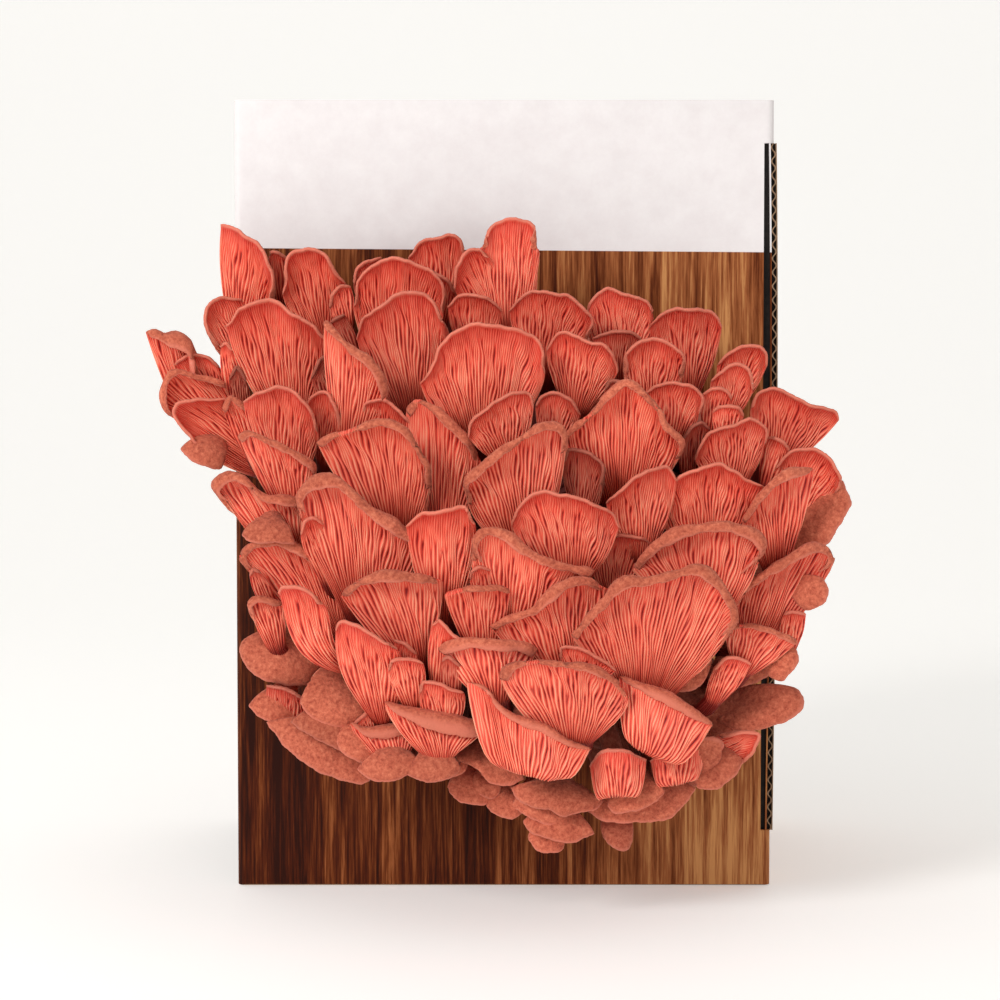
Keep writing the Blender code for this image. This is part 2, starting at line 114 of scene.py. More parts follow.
def cut_away(piece, cutter):
    make_active(piece)
    cut = piece.modifiers.new("cut", "BOOLEAN")
    cut.operation, cut.solver, cut.object = "DIFFERENCE", "EXACT", cutter
    bpy.ops.object.modifier_apply(modifier=cut.name)
    bpy.data.objects.remove(cutter, do_unlink=True)


def new_material(name, roughness, **inputs):
    """A material of the given roughness; other inputs are named with _ for each space."""
    material = bpy.data.materials.new(name)
    material.use_nodes = True
    shader = material.node_tree.nodes["Principled BSDF"]
    for key, value in {"Roughness": roughness, **inputs}.items():
        shader.inputs[key.replace("_", " ")].default_value = value
    return material


def add_node(material, kind, inputs=None, **settings):
    made = material.node_tree.nodes.new(kind)
    for key, value in settings.items():
        setattr(made, key, value)
    for key, value in (inputs or {}).items():
        if isinstance(value, bpy.types.NodeSocket):
            material.node_tree.links.new(value, made.inputs[key])
        else:
            made.inputs[key].default_value = value
    return made


def colour_ramp(material, factor, *stops):
    """A ramp through (place, colour) stops, fed by a socket."""
    ramp = add_node(material, "ShaderNodeValToRGB", {"Fac": factor})
    elements = ramp.color_ramp.elements
    while len(elements) < len(stops):
        elements.new(0.5)
    for element, (place, colour) in zip(elements, stops):
        element.position = place
        element.color = (*colour, 1.0)
    return ramp.outputs["Color"]


def mix_colours(material, factor, first, second, blend="MIX"):
    mix = add_node(material, "ShaderNodeMix", data_type="RGBA", blend_type=blend)
    for name, value in (("Factor", factor), ("A", first), ("B", second)):
        socket = next(s for s in mix.inputs if s.name == name and s.enabled)
        if isinstance(value, bpy.types.NodeSocket):
            material.node_tree.links.new(value, socket)
        else:
            socket.default_value = value if name == "Factor" else (*value, 1.0)
    return next(s for s in mix.outputs if s.enabled)


def maths(material, operation, first, second, clamp=False):
    return add_node(material, "ShaderNodeMath", {0: first, 1: second}, operation=operation,
                    use_clamp=clamp).outputs[0]


def object_place(material, scale=(1, 1, 1), move=(0, 0, 0)):
    """A point of the piece in its own coordinates, scaled and moved."""
    place = add_node(material, "ShaderNodeTexCoord").outputs["Object"]
    return add_node(material, "ShaderNodeMapping",
                    {"Vector": place, "Scale": scale, "Location": move}).outputs["Vector"]


def cloud(material, scale, stretch=(1, 1, 1), **inputs):
    """Noise from 0 to 1 on the piece's own coordinates, stretched along its axes."""
    return add_node(material, "ShaderNodeTexNoise",
                    {"Vector": object_place(material, stretch), "Scale": scale, **inputs}).outputs["Fac"]


def join_shader(material, colour, height, bump, distance):
    """Gives the surface its colour, and its fine relief as a bump of the given depth."""
    shader = material.node_tree.nodes["Principled BSDF"]
    bumped = add_node(material, "ShaderNodeBump", {"Height": height, "Strength": bump, "Distance": distance})
    material.node_tree.links.new(colour, shader.inputs["Base Color"])
    material.node_tree.links.new(bumped.outputs["Normal"], shader.inputs["Normal"])


# The print: a white band with a faint pink mottle, and below it dark plank grain.
printed_board = new_material("printed_board", 0.55, Specular_IOR_Level=0.09)
broad = cloud(printed_board, 26, (1.0, 1.0, 0.10), Detail=4.0, Roughness=0.55)
streaks = cloud(printed_board, 280, (1.0, 1.0, 0.035), Detail=6.0, Roughness=0.7, Distortion=0.6)
pores = cloud(printed_board, 1300, (1.0, 1.0, 0.04), Detail=4.0, Roughness=0.65)
grain = -0.18
for pattern, share in ((broad, 0.50), (streaks, 0.78), (pores, 0.46)):
    grain = maths(printed_board, "ADD", grain, maths(printed_board, "MULTIPLY", pattern, share))
# the planks get lighter to the right, most of all in their lower half
board_place = add_node(printed_board, "ShaderNodeSeparateXYZ", {"Vector": object_place(printed_board)})
below = maths(printed_board, "MAXIMUM", maths(printed_board, "SUBTRACT", 0.12, board_place.outputs["Z"]), 0.0)
rightward = maths(printed_board, "ADD", maths(printed_board, "MULTIPLY", below, 14.0), 0.28)
grain = maths(printed_board, "ADD", grain,
              maths(printed_board, "MULTIPLY", board_place.outputs["X"], rightward))
planks = colour_ramp(printed_board, grain, (0.50, (0.022, 0.003, 0.0005)), (0.60, (0.062, 0.009, 0.001)),
                     (0.68, (0.138, 0.031, 0.006)), (0.78, (0.30, 0.092, 0.028)), (0.90, (0.55, 0.25, 0.088)))
mottle = cloud(printed_board, 130, Detail=5.0, Roughness=0.7)
paper = colour_ramp(printed_board, mottle, (0.3, (0.72, 0.675, 0.675)), (0.7, (0.78, 0.745, 0.742)))
# the band's lower edge climbs a very little to the left
sloped = maths(printed_board, "ADD", board_place.outputs["Z"],
               maths(printed_board, "MULTIPLY", board_place.outputs["X"], BAND_SLOPE))
above = maths(printed_board, "MULTIPLY", maths(printed_board, "SUBTRACT", sloped, BAND_BOTTOM), 6000.0,
              clamp=True)
join_shader(printed_board, mix_colours(printed_board, above, planks, paper),
            cloud(printed_board, 420, (1.0, 1.0, 0.4), Detail=3.0), 0.12, 0.0003)

# Bare kraft paper shows inside the carton and on the cut ends of the board.
kraft = new_material("kraft_paper", 0.85)
fibres = cloud(kraft, 700, (1.0, 1.0, 0.3), Detail=5.0, Roughness=0.7)
join_shader(kraft, colour_ramp(kraft, fibres, (0.3, (0.16, 0.092, 0.05)), (0.7, (0.32, 0.20, 0.115))),
            fibres, 0.3, 0.0002)

half_width = carton_high.x
front, back = carton_low.y, carton_high.y
top = carton_high.z
carton = block("carton_board", (-half_width, front, 0), (half_width, back, top))
choose(carton, edges=lambda e: abs((e.verts[0].co - e.verts[1].co).normalized().z) > 0.9)
bpy.ops.mesh.bevel(offset=FOLD, segments=5, affect="EDGES")
leave_edit()
# the long top and bottom edges are scored folds too, turning into the outer flaps
choose(carton, edges=lambda e: abs((e.verts[0].co - e.verts[1].co).normalized().x) > 0.9
       and abs(e.verts[0].co.y) > back - MM and e.calc_length() > half_width)
bpy.ops.mesh.bevel(offset=1.6 * MM, segments=3, affect="EDGES")
leave_edit()
# the seam where the outer flaps meet, above and below
choose(carton, faces=lambda f: True)
for side in (-1, 1):
    bpy.ops.mesh.select_all(action="SELECT")
    bpy.ops.mesh.bisect(plane_co=(0, side * FLAP_GAP / 2, 0), plane_no=(0, 1, 0))
leave_edit()
for height, depth in ((top, -BOARD), (0.0, BOARD)):
    choose(carton, faces=lambda f: abs(f.calc_center_median().z - height) < 0.1 * MM
           and abs(f.calc_center_median().y) < FLAP_GAP / 2)
    bpy.ops.mesh.extrude_region_move(TRANSFORM_OT_translate={"value": (0, 0, depth)})
    leave_edit()
cut_away(carton, block("inside", (BOARD - half_width, front + BOARD, 2 * BOARD + 0.5 * MM),
                       (half_width - BOARD, back - BOARD, top - 2 * BOARD - 0.5 * MM)))
cut_away(carton, start_from(
    bpy.ops.mesh.primitive_cylinder_add, "window", vertices=96, radius=WINDOW_RADIUS, depth=4 * BOARD,
    location=(0, front, WINDOW_HEIGHT), rotation=(math.pi / 2, 0, 0)))
cut_away(carton, block("long_cut", (CUT_LEFT, front - BOARD, CUT_BOTTOM),
                       (half_width + MM, front + BOARD, CUT_TOP)))
carton.data.materials.clear()
carton.data.materials.append(printed_board)
carton.data.materials.append(kraft)
wall = 0.9 * BOARD
for face in carton.data.polygons:
    middle = face.center
    inside = abs(middle.x) < half_width - wall and front + wall < middle.y < back - wall \
        and wall < middle.z < top - wall
    cut_end = abs((middle - Vector((0, middle.y, WINDOW_HEIGHT))).length - WINDOW_RADIUS) < 0.5 * MM
    face.material_index = 1 if inside or cut_end or middle.z < 0.2 * MM else 0
make_active(carton)
bpy.ops.object.shade_smooth_by_angle(angle=math.radians(35))
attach(carton, "root")
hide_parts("carton")

# The freed edge of the side panel: two facing papers with the fluting between them. It has
# sprung a little outwards along its middle since it was cut.
EDGE_STEPS = 400            # rows of corners up the edge
SPRING_SHARE = 0.6          # how much of the spring the papers at the edge follow
side_edge = bpy.data.meshes.new("side_panel_edge")
bm = bmesh.new()


def spring_out(z):
    """How far the freed edge stands out of the side panel's plane."""
    along = min(max((z - CUT_BOTTOM) / (CUT_TOP - CUT_BOTTOM), 0.0), 1.0)
    return 1.3 * MM * math.sin(math.pi * along ** 1.3) ** 0.8


def sheet(outer_x, thickness, wave, material_index):
    """A strip of paper standing on edge, followed upwards."""
    rows = []
    near, far = front + 0.2 * MM, front + BOARD
    for k in range(EDGE_STEPS + 1):
        z = CUT_BOTTOM + (CUT_TOP - CUT_BOTTOM) * k / EDGE_STEPS
        x = outer_x + spring_out(z) * SPRING_SHARE + wave * math.sin(2 * math.pi * z / FLUTE_PITCH)
        rows.append([bm.verts.new((x + dx, y, z)) for dx, y in
                     ((0, near), (thickness, near), (thickness, far), (0, far))])
    for low, high in zip(rows, rows[1:]):
        for a in range(4):
            b = (a + 1) % 4
            bm.faces.new((low[a], low[b], high[b], high[a])).material_index = material_index
    bm.faces.new(rows[0][::-1])
    bm.faces.new(rows[-1])


sheet(CUT_RIGHT - 0.2 * MM, 0.4 * MM, 0.0, 0)
sheet(CUT_RIGHT + 0.85 * MM, 0.4 * MM, 0.62 * MM, 1)
sheet(CUT_RIGHT + 1.75 * MM, 0.3 * MM, 0.0, 1)
bmesh.ops.recalc_face_normals(bm, faces=bm.faces)
bm.to_mesh(side_edge)
bm.free()
side_edge = bpy.data.objects.new("side_panel_edge", side_edge)
bpy.context.scene.collection.objects.link(side_edge)
side_edge.data.materials.append(printed_board)
side_edge.data.materials.append(kraft)
# painted shadow: a near-black sheet deep inside the flutes and behind the cut, where it is dark
dark_inside = block("flute_shadow", (CUT_LEFT - 0.4 * MM, front + 0.55 * BOARD, CUT_BOTTOM),
                    (CUT_RIGHT + 1.7 * MM, front + 0.9 * BOARD, CUT_TOP))
choose(dark_inside, edges=lambda e: e.calc_length() > 100 * MM)
bpy.ops.mesh.subdivide(number_cuts=30)
leave_edit()
for corner in dark_inside.data.vertices:
    if corner.co.x > CUT_RIGHT:
        corner.co.x += spring_out(corner.co.z) * SPRING_SHARE
shade_paper = new_material("flute_shade", 0.95)
shade_mottle = cloud(shade_paper, 500, Detail=3.0)
join_shader(shade_paper, colour_ramp(shade_paper, shade_mottle, (0.3, (0.004, 0.003, 0.003)),
                                     (0.7, (0.016, 0.011, 0.008))), shade_mottle, 0.2, 0.0002)
dark_inside.data.materials.append(shade_paper)
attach(dark_inside, "root")
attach(side_edge, "root")


# ---------------------------------------------------------------- block and bag
# The growing block is sawdust bound together by white threads of the fungus. It stands in a
# clear film bag inside the carton, and only shows where the film is cut open at the window.
sawdust = new_material("colonised_sawdust", 0.95)
clumps = cloud(sawdust, 90, Detail=8.0, Roughness=0.75)
join_shader(sawdust, colour_ramp(sawdust, clumps, (0.35, (0.24, 0.13, 0.06)),
                                 (0.52, (0.62, 0.52, 0.40)), (0.66, (0.86, 0.83, 0.76))),
            clumps, 0.7, 0.002)
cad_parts["substrate_block"].material_slots[0].material = sawdust

bag_film = new_material("bag_film", 0.22)
creases = cloud(bag_film, 60, (1.0, 1.0, 0.35), Detail=3.0, Distortion=1.5)
join_shader(bag_film, colour_ramp(bag_film, creases, (0.3, (0.70, 0.70, 0.68)),
                                  (0.7, (0.86, 0.86, 0.85))), creases, 0.5, 0.002)
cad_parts["grow_bag"].material_slots[0].material = bag_film


# ---------------------------------------------------------------- foot of the cluster
# All the stems run together into one fleshy foot. It leaves the block as a round neck and
# spreads out in front of the carton behind the caps. Its flesh is ribbed where stems have
# fused side by side, and it lies in deep shade.
_, foot_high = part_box("cluster_base")
FOOT_MIDDLE = 113 * MM
FOOT_HALF_WIDTH, FOOT_HALF_HEIGHT = 72 * MM, 62 * MM
FOOT_SWELL, FOOT_DROOP, FOOT_EDGE = 40 * MM, 0.3, 5 * MM
NECK_RADIUS = 39 * MM
FOOT_RIBS = 64
SKIN_DEPTH = 3.4 * MM       # the flesh between the ribs lies this far inside the plain foot
RIB_HEIGHT, LUMP_HEIGHT = 2.2 * MM, 1.2 * MM


def foot_rise(x, z):
    """How far the plain foot stands in front of the carton."""
    up = (z - FOOT_MIDDLE) / FOOT_HALF_HEIGHT
    out = np.minimum(np.hypot(x / FOOT_HALF_WIDTH, up), 1.0)
    return FOOT_EDGE + FOOT_SWELL * np.sqrt(1.0 - out * out) * (1.0 - FOOT_DROOP * up)


def grid_faces(rows, columns, wrap=False):
    """Quads of a grid of corners numbered row by row."""
    across = columns if wrap else columns - 1
    return [(j * columns + i, j * columns + (i + 1) % columns, (j + 1) * columns + (i + 1) % columns,
             (j + 1) * columns + i) for j in range(rows - 1) for i in range(across)]


def new_piece(name, corners, faces, materials):
    mesh = bpy.data.meshes.new(name)
    mesh.from_pydata([tuple(c) for c in corners], [], faces)
    mesh.update()
    piece = bpy.data.objects.new(name, mesh)
    bpy.context.scene.collection.objects.link(piece)
    for material in materials:
        mesh.materials.append(material)
    mesh.shade_smooth()
    return piece


angles = np.linspace(0, 2 * math.pi, 360, endpoint=False)
outs = [0.0, 0.06, 0.12, 0.18, 0.25, 0.32, 0.39, 0.46, 0.53, 0.6, 0.67, 0.74, 0.81, 0.87, 0.92, 0.96, 0.985]
rings = []
for out in outs[1:][::-1]:
    ring = []
    for a in angles:
        x, z = out * FOOT_HALF_WIDTH * math.cos(a), FOOT_MIDDLE + out * FOOT_HALF_HEIGHT * math.sin(a)
        sway = 2.5 * noise.noise((out * 3, math.cos(a) * 2, math.sin(a) * 2))
        rib = abs(math.sin(a * FOOT_RIBS / 2 + sway)) * min(1.0, 2 * out)
        lump = noise.noise((x * 90, z * 90, 3.0))
        relief = (RIB_HEIGHT * rib + LUMP_HEIGHT * lump) * (1 - out ** 8)
        rise = float(foot_rise(x, z)) - SKIN_DEPTH + relief
        ring.append((x, front - max(rise, 1.2 * MM), z))
    rings.append(ring)
neck = [[(r * math.cos(a), y, FOOT_MIDDLE + r * math.sin(a)) for a in angles]
        for r, y in ((NECK_RADIUS, foot_high.y), (NECK_RADIUS, front - 1.0 * MM))]
corners = [c for ring in neck + rings for c in ring]
faces = grid_faces(len(neck + rings), len(angles), wrap=True)
corners.append((0, front - float(foot_rise(0, FOOT_MIDDLE)) + SKIN_DEPTH, FOOT_MIDDLE))
last = (len(neck + rings) - 1) * len(angles)
faces += [(last + i, last + (i + 1) % len(angles), len(corners) - 1) for i in range(len(angles))]
faces.append(tuple(range(len(angles)))[::-1])

foot_flesh_painted_shade = new_material("foot_flesh_painted_shade", 0.7)
blotches = cloud(foot_flesh_painted_shade, 60, Detail=5.0, Roughness=0.6)
# painted shade: near-black red over the middle of the foot, deep in the cluster, paler coral flesh towards
# its edge
from_middle = add_node(foot_flesh_painted_shade, "ShaderNodeVectorMath", {
    0: object_place(foot_flesh_painted_shade, (1 / FOOT_HALF_WIDTH, 0, 1 / FOOT_HALF_HEIGHT),
                    (0, 0, -FOOT_MIDDLE / FOOT_HALF_HEIGHT))}, operation="LENGTH")
painted_shade_colour = colour_ramp(foot_flesh_painted_shade, blotches, (0.35, (0.055, 0.006, 0.006)),
                          (0.65, (0.22, 0.030, 0.022)))
edge_colour = colour_ramp(foot_flesh_painted_shade, blotches, (0.35, (0.48, 0.10, 0.065)),
                          (0.65, (0.72, 0.24, 0.16)))
share = colour_ramp(foot_flesh_painted_shade, from_middle.outputs["Value"], (0.66, (0, 0, 0)), (0.97, (1, 1, 1)))
join_shader(foot_flesh_painted_shade, mix_colours(foot_flesh_painted_shade, share, painted_shade_colour, edge_colour),
            blotches, 0.4, 0.001)
foot = new_piece("foot_of_cluster", corners, faces, [foot_flesh_painted_shade])
bm = bmesh.new()
bm.from_mesh(foot.data)
bmesh.ops.recalc_face_normals(bm, faces=bm.faces)
bm.to_mesh(foot.data)
bm.free()
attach(foot, "root")
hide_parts("cluster_base")


# ---------------------------------------------------------------- mushrooms
# Each mushroom is one grown piece: a short stem that widens into a fan. The side towards the
# light carries the gills, thin blades that run from the stem to the rim with shorter blades
# between them. The other side is a dusty felt, and a thin pale lip runs along the rim.
CLUSTER_SHIFT = -1.1        # lengths in this section are in millimetres
CLUSTER_MIDDLE = 121        # height about which the caps are spread
MID_FRONT, SPREAD, SPREAD_DROP = 55, 0.0015, 0.052
STEM_RADIUS = 2.6
STEM_END_OUT, STEM_END_DEPTH = 0.74, 7.0    # where a stem ends: how far out in the foot, how deep
FAN_LEAN, SHELF_LEAN = 0.55, 1.4        # how far a cap leans forwards for its height
SHELF_SWELL, FAN_SWELL = 0.15, 0.055    # how far the sides swell out for their length
LOW_SWELL, LOW_ROOT, LOW_REACH = 0.12, 66, 24       # more on fans rooted lower than this
ROOT_SHARE = 0.14           # half the width of a fan's root, for the length of its rim
GILL_SPACING = 1.3          # between two long gills at the rim
GILL_COLUMNS = 8            # columns of corners from one long gill to the next
LIP_RADIUS = 0.45
ROLL_START = 0.80           # where the felt shoulder of a hooded cap begins to roll over
FLESH = 1.15                # half the thickness of the flesh near the middle of a cap
STEM_ROWS = 10
LIP_ROWS = 4


def smooth_line(points, t):
    """Points of the smooth curve through the given ones, t from 0 to 1 along its length."""
    points = np.asarray(points, float)
    steps = np.hypot(*np.diff(points, axis=0).T)
    lengths = np.concatenate([[0.0], np.cumsum(steps)])
    want = np.clip(t, 0, 1) * lengths[-1]
    k = np.clip(np.searchsorted(lengths, want, side="left") - 1, 0, len(points) - 2)
    s = ((want - lengths[k]) / steps[k])[..., None]
    p1, p2 = points[k], points[k + 1]
    p0 = np.where((k > 0)[..., None], points[np.maximum(k - 1, 0)], 2 * p1 - p2)
    p3 = np.where((k + 2 < len(points))[..., None], points[np.minimum(k + 2, len(points) - 1)], 2 * p2 - p1)
    return 0.5 * (2 * p1 + (p2 - p0) * s + (2 * p0 - 5 * p1 + 4 * p2 - p3) * s ** 2
                  + (3 * p1 - p0 - 3 * p2 + p3) * s ** 3)


def bezier(p0, p1, p2, p3, t):
    r = 1.0 - t
    return p0 * r ** 3 + p1 * 3 * r * r * t + p2 * 3 * r * t * t + p3 * t ** 3


def soft_step(x):
    x = np.clip(x, 0, 1)
    return x * x * (3 - 2 * x)


def fan_directions(row):
    """The root of a fan and the direction across it, both in the plane of its front view."""
    # caps that stand further back lie a little further out and lower
    back = MID_FRONT - row["front"]
    middle = np.array((0.0, CLUSTER_MIDDLE))
    drop = np.array((0.0, SPREAD_DROP * back))
    rim, root = ((np.array(row[part], float) + (CLUSTER_SHIFT, 0) - middle) * (1 + SPREAD * back)
                 + middle - drop for part in ("rim", "root"))
    axis = smooth_line(rim, np.array(0.5)) - root
    axis = axis / np.hypot(*axis)
    across = np.array((axis[1], -axis[0]))
    if across @ (rim[-1] - rim[0]) < 0:
        across = -across
    return rim, root, across


def stem_end_rise(root):
    """How far in front of the carton a stem meets the foot."""
    near = [float(foot_rise((root[0] + dx) * MM, (root[1] + dz) * MM)) / MM
            for dx in (-STEM_RADIUS, 0, STEM_RADIUS) for dz in (-STEM_RADIUS, 0, STEM_RADIUS)]
    return max(near) + 0.6


def root_half_width(row):
    """Half the width of a fan where its gills run together; a shelf's is its stem's."""
    if row.get("shelf"):
        return STEM_RADIUS
    rim_length = np.hypot(*np.diff(np.array(row["rim"], float), axis=0).T).sum()
    return float(np.clip(row.get("broad", ROOT_SHARE) * rim_length, STEM_RADIUS, 7.0))


def fan_sheet(row, u, v):
    """The middle sheet of a fan in millimetres: u from -1 to 1 across, v from 0 at the root to 1."""
    rim, root, across = fan_directions(row)
    end = smooth_line(rim, (u + 1) / 2)
    start = root + across * root_half_width(row) * u[..., None]
    reach = end - start
    length = np.hypot(reach[..., 0], reach[..., 1])
    way = reach / length[..., None]
    hood, belly = row.get("hood", 0) * np.ones_like(u), row.get("belly", 1.5)
    height = np.hypot(*(smooth_line(rim, np.array(0.5)) - root))
    start_rise = max(stem_end_rise(root) + STEM_RADIUS,
                     row["front"] - (SHELF_LEAN if row.get("shelf") else FAN_LEAN) * height)
    end_rise = row["front"] - row["wrap"] * u * u
    climb = end_rise - start_rise
    if row.get("shelf"):
        first, second = start + reach * 0.1, end - reach * 0.35
        first_rise, second_rise = start_rise + 0.7 * climb + belly, end_rise + 0.4 * belly
        place = bezier(start, first, second, end, v[..., None])
        rise = bezier(start_rise, first_rise, second_rise, end_rise, v)
    else:
        # up to the crest of the cap, then over it in a short roll down to the rim
        roll = ROLL_START if row.get("hood") else 1.0
        hood = hood * (0.78 - 0.30 * u * u)
        crest = end + way * hood[..., None]
        crest_rise = end_rise - 0.85 * hood
        first = start + reach * 0.4 + np.array(row.get("bend", (0, 0)))
        second = crest - reach * 0.22
        first_rise = start_rise + 0.30 * climb + 1.2 * belly
        second_rise = crest_rise - 0.62 * climb + 0.3 * belly
        w = np.clip(v / roll, 0, 1)
        place = bezier(start, first, second, crest, w[..., None])
        rise = bezier(start_rise, first_rise, second_rise, crest_rise, w)
        if roll < 1:
            w = np.clip((v - roll) / (1 - roll), 0, 1)
            rise_over = way * hood[..., None]
            over = bezier(crest, crest + 0.45 * rise_over, end + 0.75 * rise_over, end, w[..., None])
            over_rise = bezier(crest_rise, crest_rise + 0.50 * hood, end_rise + 0.20 * hood, end_rise, w)
            place = np.where((v > roll)[..., None], over, place)
            rise = np.where(v > roll, over_rise, rise)
    # the sides swell out, most of all on the shelves and on the lowest fans
    swell = SHELF_SWELL if row.get("shelf") else \
        FAN_SWELL + LOW_SWELL * min(max((LOW_ROOT - row["root"][1]) / LOW_REACH, 0), 1)
    bow = swell * length * np.sin(math.pi * np.clip(v, 0, 1)) * u * np.sqrt(np.abs(u))
    place = place + across * bow[..., None]
    return np.stack([place[..., 0], front / MM - rise, place[..., 1]], axis=-1)


def sheet_normals(sheet):
    across = np.gradient(sheet, axis=1)
    along = np.gradient(sheet, axis=0)
    normal = np.cross(across, along)
    return normal / np.maximum(np.linalg.norm(normal, axis=-1, keepdims=True), 1e-9)


def stem_rows(row, u, root_row, first_row):
    """Rows that carry the root of a fan back into the foot, deepest first."""
    _, root, across = fan_directions(row)
    middle = root_row[len(root_row) // 2]
    leave = first_row[len(root_row) // 2] - middle
    leave = leave / np.linalg.norm(leave)
    centre = np.array((0.0, FOOT_MIDDLE / MM))
    out = math.hypot((root[0] - centre[0]) / (FOOT_HALF_WIDTH / MM),
                     (root[1] - centre[1]) / (FOOT_HALF_HEIGHT / MM))
    inward = max(0.10, 1 - STEM_END_OUT / max(out, 1e-6))
    deep = root + (centre - root) * inward
    deep_rise = float(foot_rise(deep[0] * MM, deep[1] * MM)) / MM - STEM_END_DEPTH
    deep = np.array((deep[0], front / MM - deep_rise, deep[1]))
    length = np.linalg.norm(middle - deep)
    w = np.linspace(0, 1, STEM_ROWS + 1)[:-1, None]
    centres = bezier(deep, deep + np.array((0, -0.35 * length, 0)), middle - leave * 0.4 * length, middle, w)
    radius = STEM_RADIUS + 1.3 * (1 - w)
    half_width = radius + (root_half_width(row) - STEM_RADIUS) * w ** 1.5
    return centres[:, None, :] + np.array((across[0], 0, across[1])) * (half_width * u)[..., None], radius


def make_mushroom(name, row, seed, shift=0.0, detail=1.0):
    """One mushroom with its gills, felt back, lip and stem, moved forwards by shift."""
    rng = np.random.default_rng(seed)
    rim, root, across = fan_directions(row)
    rim_length = np.hypot(*np.diff(rim, axis=0).T).sum()
    long_gills = max(7, int(round(rim_length / (GILL_SPACING / detail))))
    columns = long_gills * GILL_COLUMNS + 1
    height = np.hypot(*(smooth_line(rim, np.array(0.5)) - root))
    lip_start = 1 - LIP_RADIUS / max(height, 8)
    body_rows = int(np.clip(height * 1.0, 14, 34) * (0.75 + 0.25 * detail))
    turn = np.linspace(0, math.pi / 2, LIP_ROWS + 1)[1:]
    v_line = np.concatenate([1 - (1 - np.linspace(0, 1, body_rows)) ** 1.15, [1.0]])[:-1] * lip_start
    v_line = np.concatenate([v_line, lip_start + (1 - lip_start) * np.sin(turn)])
    u_line = np.linspace(-1, 1, columns)
    v = np.repeat(v_line[:, None], columns, axis=1)
    u = np.repeat(u_line[None, :], len(v_line), axis=0)

    # the gills wander a little sideways on their way to the rim
    inner = soft_step((1 - np.abs(u)) / 0.12) * (1 - v ** 6)
    step = 2 / long_gills
    for k in range(3):
        a, b, c = rng.uniform(0, 2 * math.pi, 3)
        turns = (2 + 4 * k) * math.pi
        u = u + inner * min(step * 0.30 / (k + 1), 0.22 / turns) * np.sin((3.1 + 2.7 * k) * v * math.pi + a
                                                                          + turns * u_line[None, :] + b)
    sheet = fan_sheet(row, u, v)

    # the cap is gently buckled, more towards its rim
    normal = sheet_normals(sheet)
    ruffle = np.zeros_like(u)
    for wavelength, size in ((23.0, 0.7), (11.0, 0.35), (5.0, 0.10)):
        a, b = rng.uniform(0, 2 * math.pi, 2)
        ruffle += size * np.sin(u_line[None, :] * rim_length / wavelength * math.pi + a
                                + 1.5 * np.sin(2 * v + b))
    ruffle *= v ** 2 * min(1.0, height / 22)
    nick = np.zeros(columns)
    for wavelength, size in ((6.3, 0.14), (3.1, 0.07), (1.5, 0.04)):
        nick += size * np.sin(u_line * rim_length / wavelength * math.pi + rng.uniform(0, 2 * math.pi))
    along = np.gradient(sheet, axis=0)
    along /= np.maximum(np.linalg.norm(along, axis=-1, keepdims=True), 1e-9)
    sheet = sheet + normal * ruffle[..., None] \
        + along * (nick[None, :] * soft_step((v - 0.8) / 0.2))[..., None]
    sheet = sheet + normal * (0.35 * soft_step((v - 0.93) / 0.07))[..., None]

    stem, radius = stem_rows(row, u_line[None, :], sheet[0], sheet[2])
    sheet = np.concatenate([stem, sheet])
    v = np.concatenate([np.zeros((STEM_ROWS, columns)), v])
    normal = sheet_normals(sheet)

    # thickness: round at the stem, thin flesh further out, a round lip at the rim
    side = np.sqrt(np.clip(1 - u_line ** 2, 0, 1))[None, :]
    stem_share = (1 - v) ** 3
    half = STEM_RADIUS * stem_share + (FLESH * (1 - v ** 3) + LIP_RADIUS * v ** 3) * (1 - stem_share)
    half[:STEM_ROWS] = radius
    half[-LIP_ROWS:] = LIP_RADIUS * np.cos(turn)[:, None]
    round_side = np.where(v > 0.3, side ** 0.5, side)
    half = half * round_side

    # the gill blades: long ones all the way, short ones only in the outer part
    place = (np.arange(columns) / (GILL_COLUMNS / 2))[None, :]
    long_off = np.abs((place + 1) % 2 - 1)
    short_off = np.abs(place % 2 - 1)
    starts = rng.uniform(0.30, 0.80, long_gills + 1)[np.clip((place / 2).astype(int), 0, long_gills)]
    present = soft_step((v - starts) / 0.14)
    nearest_gill = np.clip(((place + 1) / 2).astype(int), 0, long_gills + 1)
    strength = rng.uniform(0.72, 1.0, long_gills + 2)[nearest_gill]
    width = 1.12 - 0.34 * present
    blade = np.clip(1 - long_off / width, 0, 1) ** 0.85 * strength
    blade = np.maximum(blade, np.clip(1 - short_off / 0.78, 0, 1) ** 0.85 * present * 0.92)
    spacing = np.linalg.norm(np.gradient(sheet, axis=1), axis=-1) * GILL_COLUMNS
    depth = np.minimum(np.clip(0.78 * spacing, 0.25, 1.25), 1.15 * half)
    # the clefts between blades open and close along their way
    cleft = (place / 2).astype(int)
    pulse = [rng.uniform(low, high, long_gills + 1)[np.clip(cleft, 0, long_gills)]
             for low, high in ((1.5, 4.5), (0, 1), (4.0, 9.0), (0, 1))]
    opening = 0.5 + 0.3 * np.sin(2 * math.pi * (pulse[0] * v + pulse[1])) \
        + 0.2 * np.sin(2 * math.pi * (pulse[2] * v + pulse[3]))
    depth = depth * (0.65 + 0.35 * opening)
    fade = (1 - soft_step((v - (lip_start - 0.045)) / 0.04)) * soft_step((1 - np.abs(u_line[None, :])) / 0.05)
    fade[:STEM_ROWS] *= np.linspace(0, 1, STEM_ROWS)[:, None]
    gill_side = sheet + normal * (half - depth * (1 - blade) * fade)[..., None]
    # colour mark of the blades: painted shade darkens the clefts, most where they open widest
    blade_mark_with_cleft_shade = 1 - (1 - blade) * fade * (0.62 + 0.38 * opening)

    # the felt side has fewer columns, and its surface is finely uneven
    every = 4
    felt = (sheet - normal * half[..., None])[:-1, ::every][:, 1:-1]
    felt_normal = normal[:-1, ::every][:, 1:-1]
    felt = felt + felt_normal * rng.uniform(-0.10, 0.10, felt.shape[:2])[..., None]

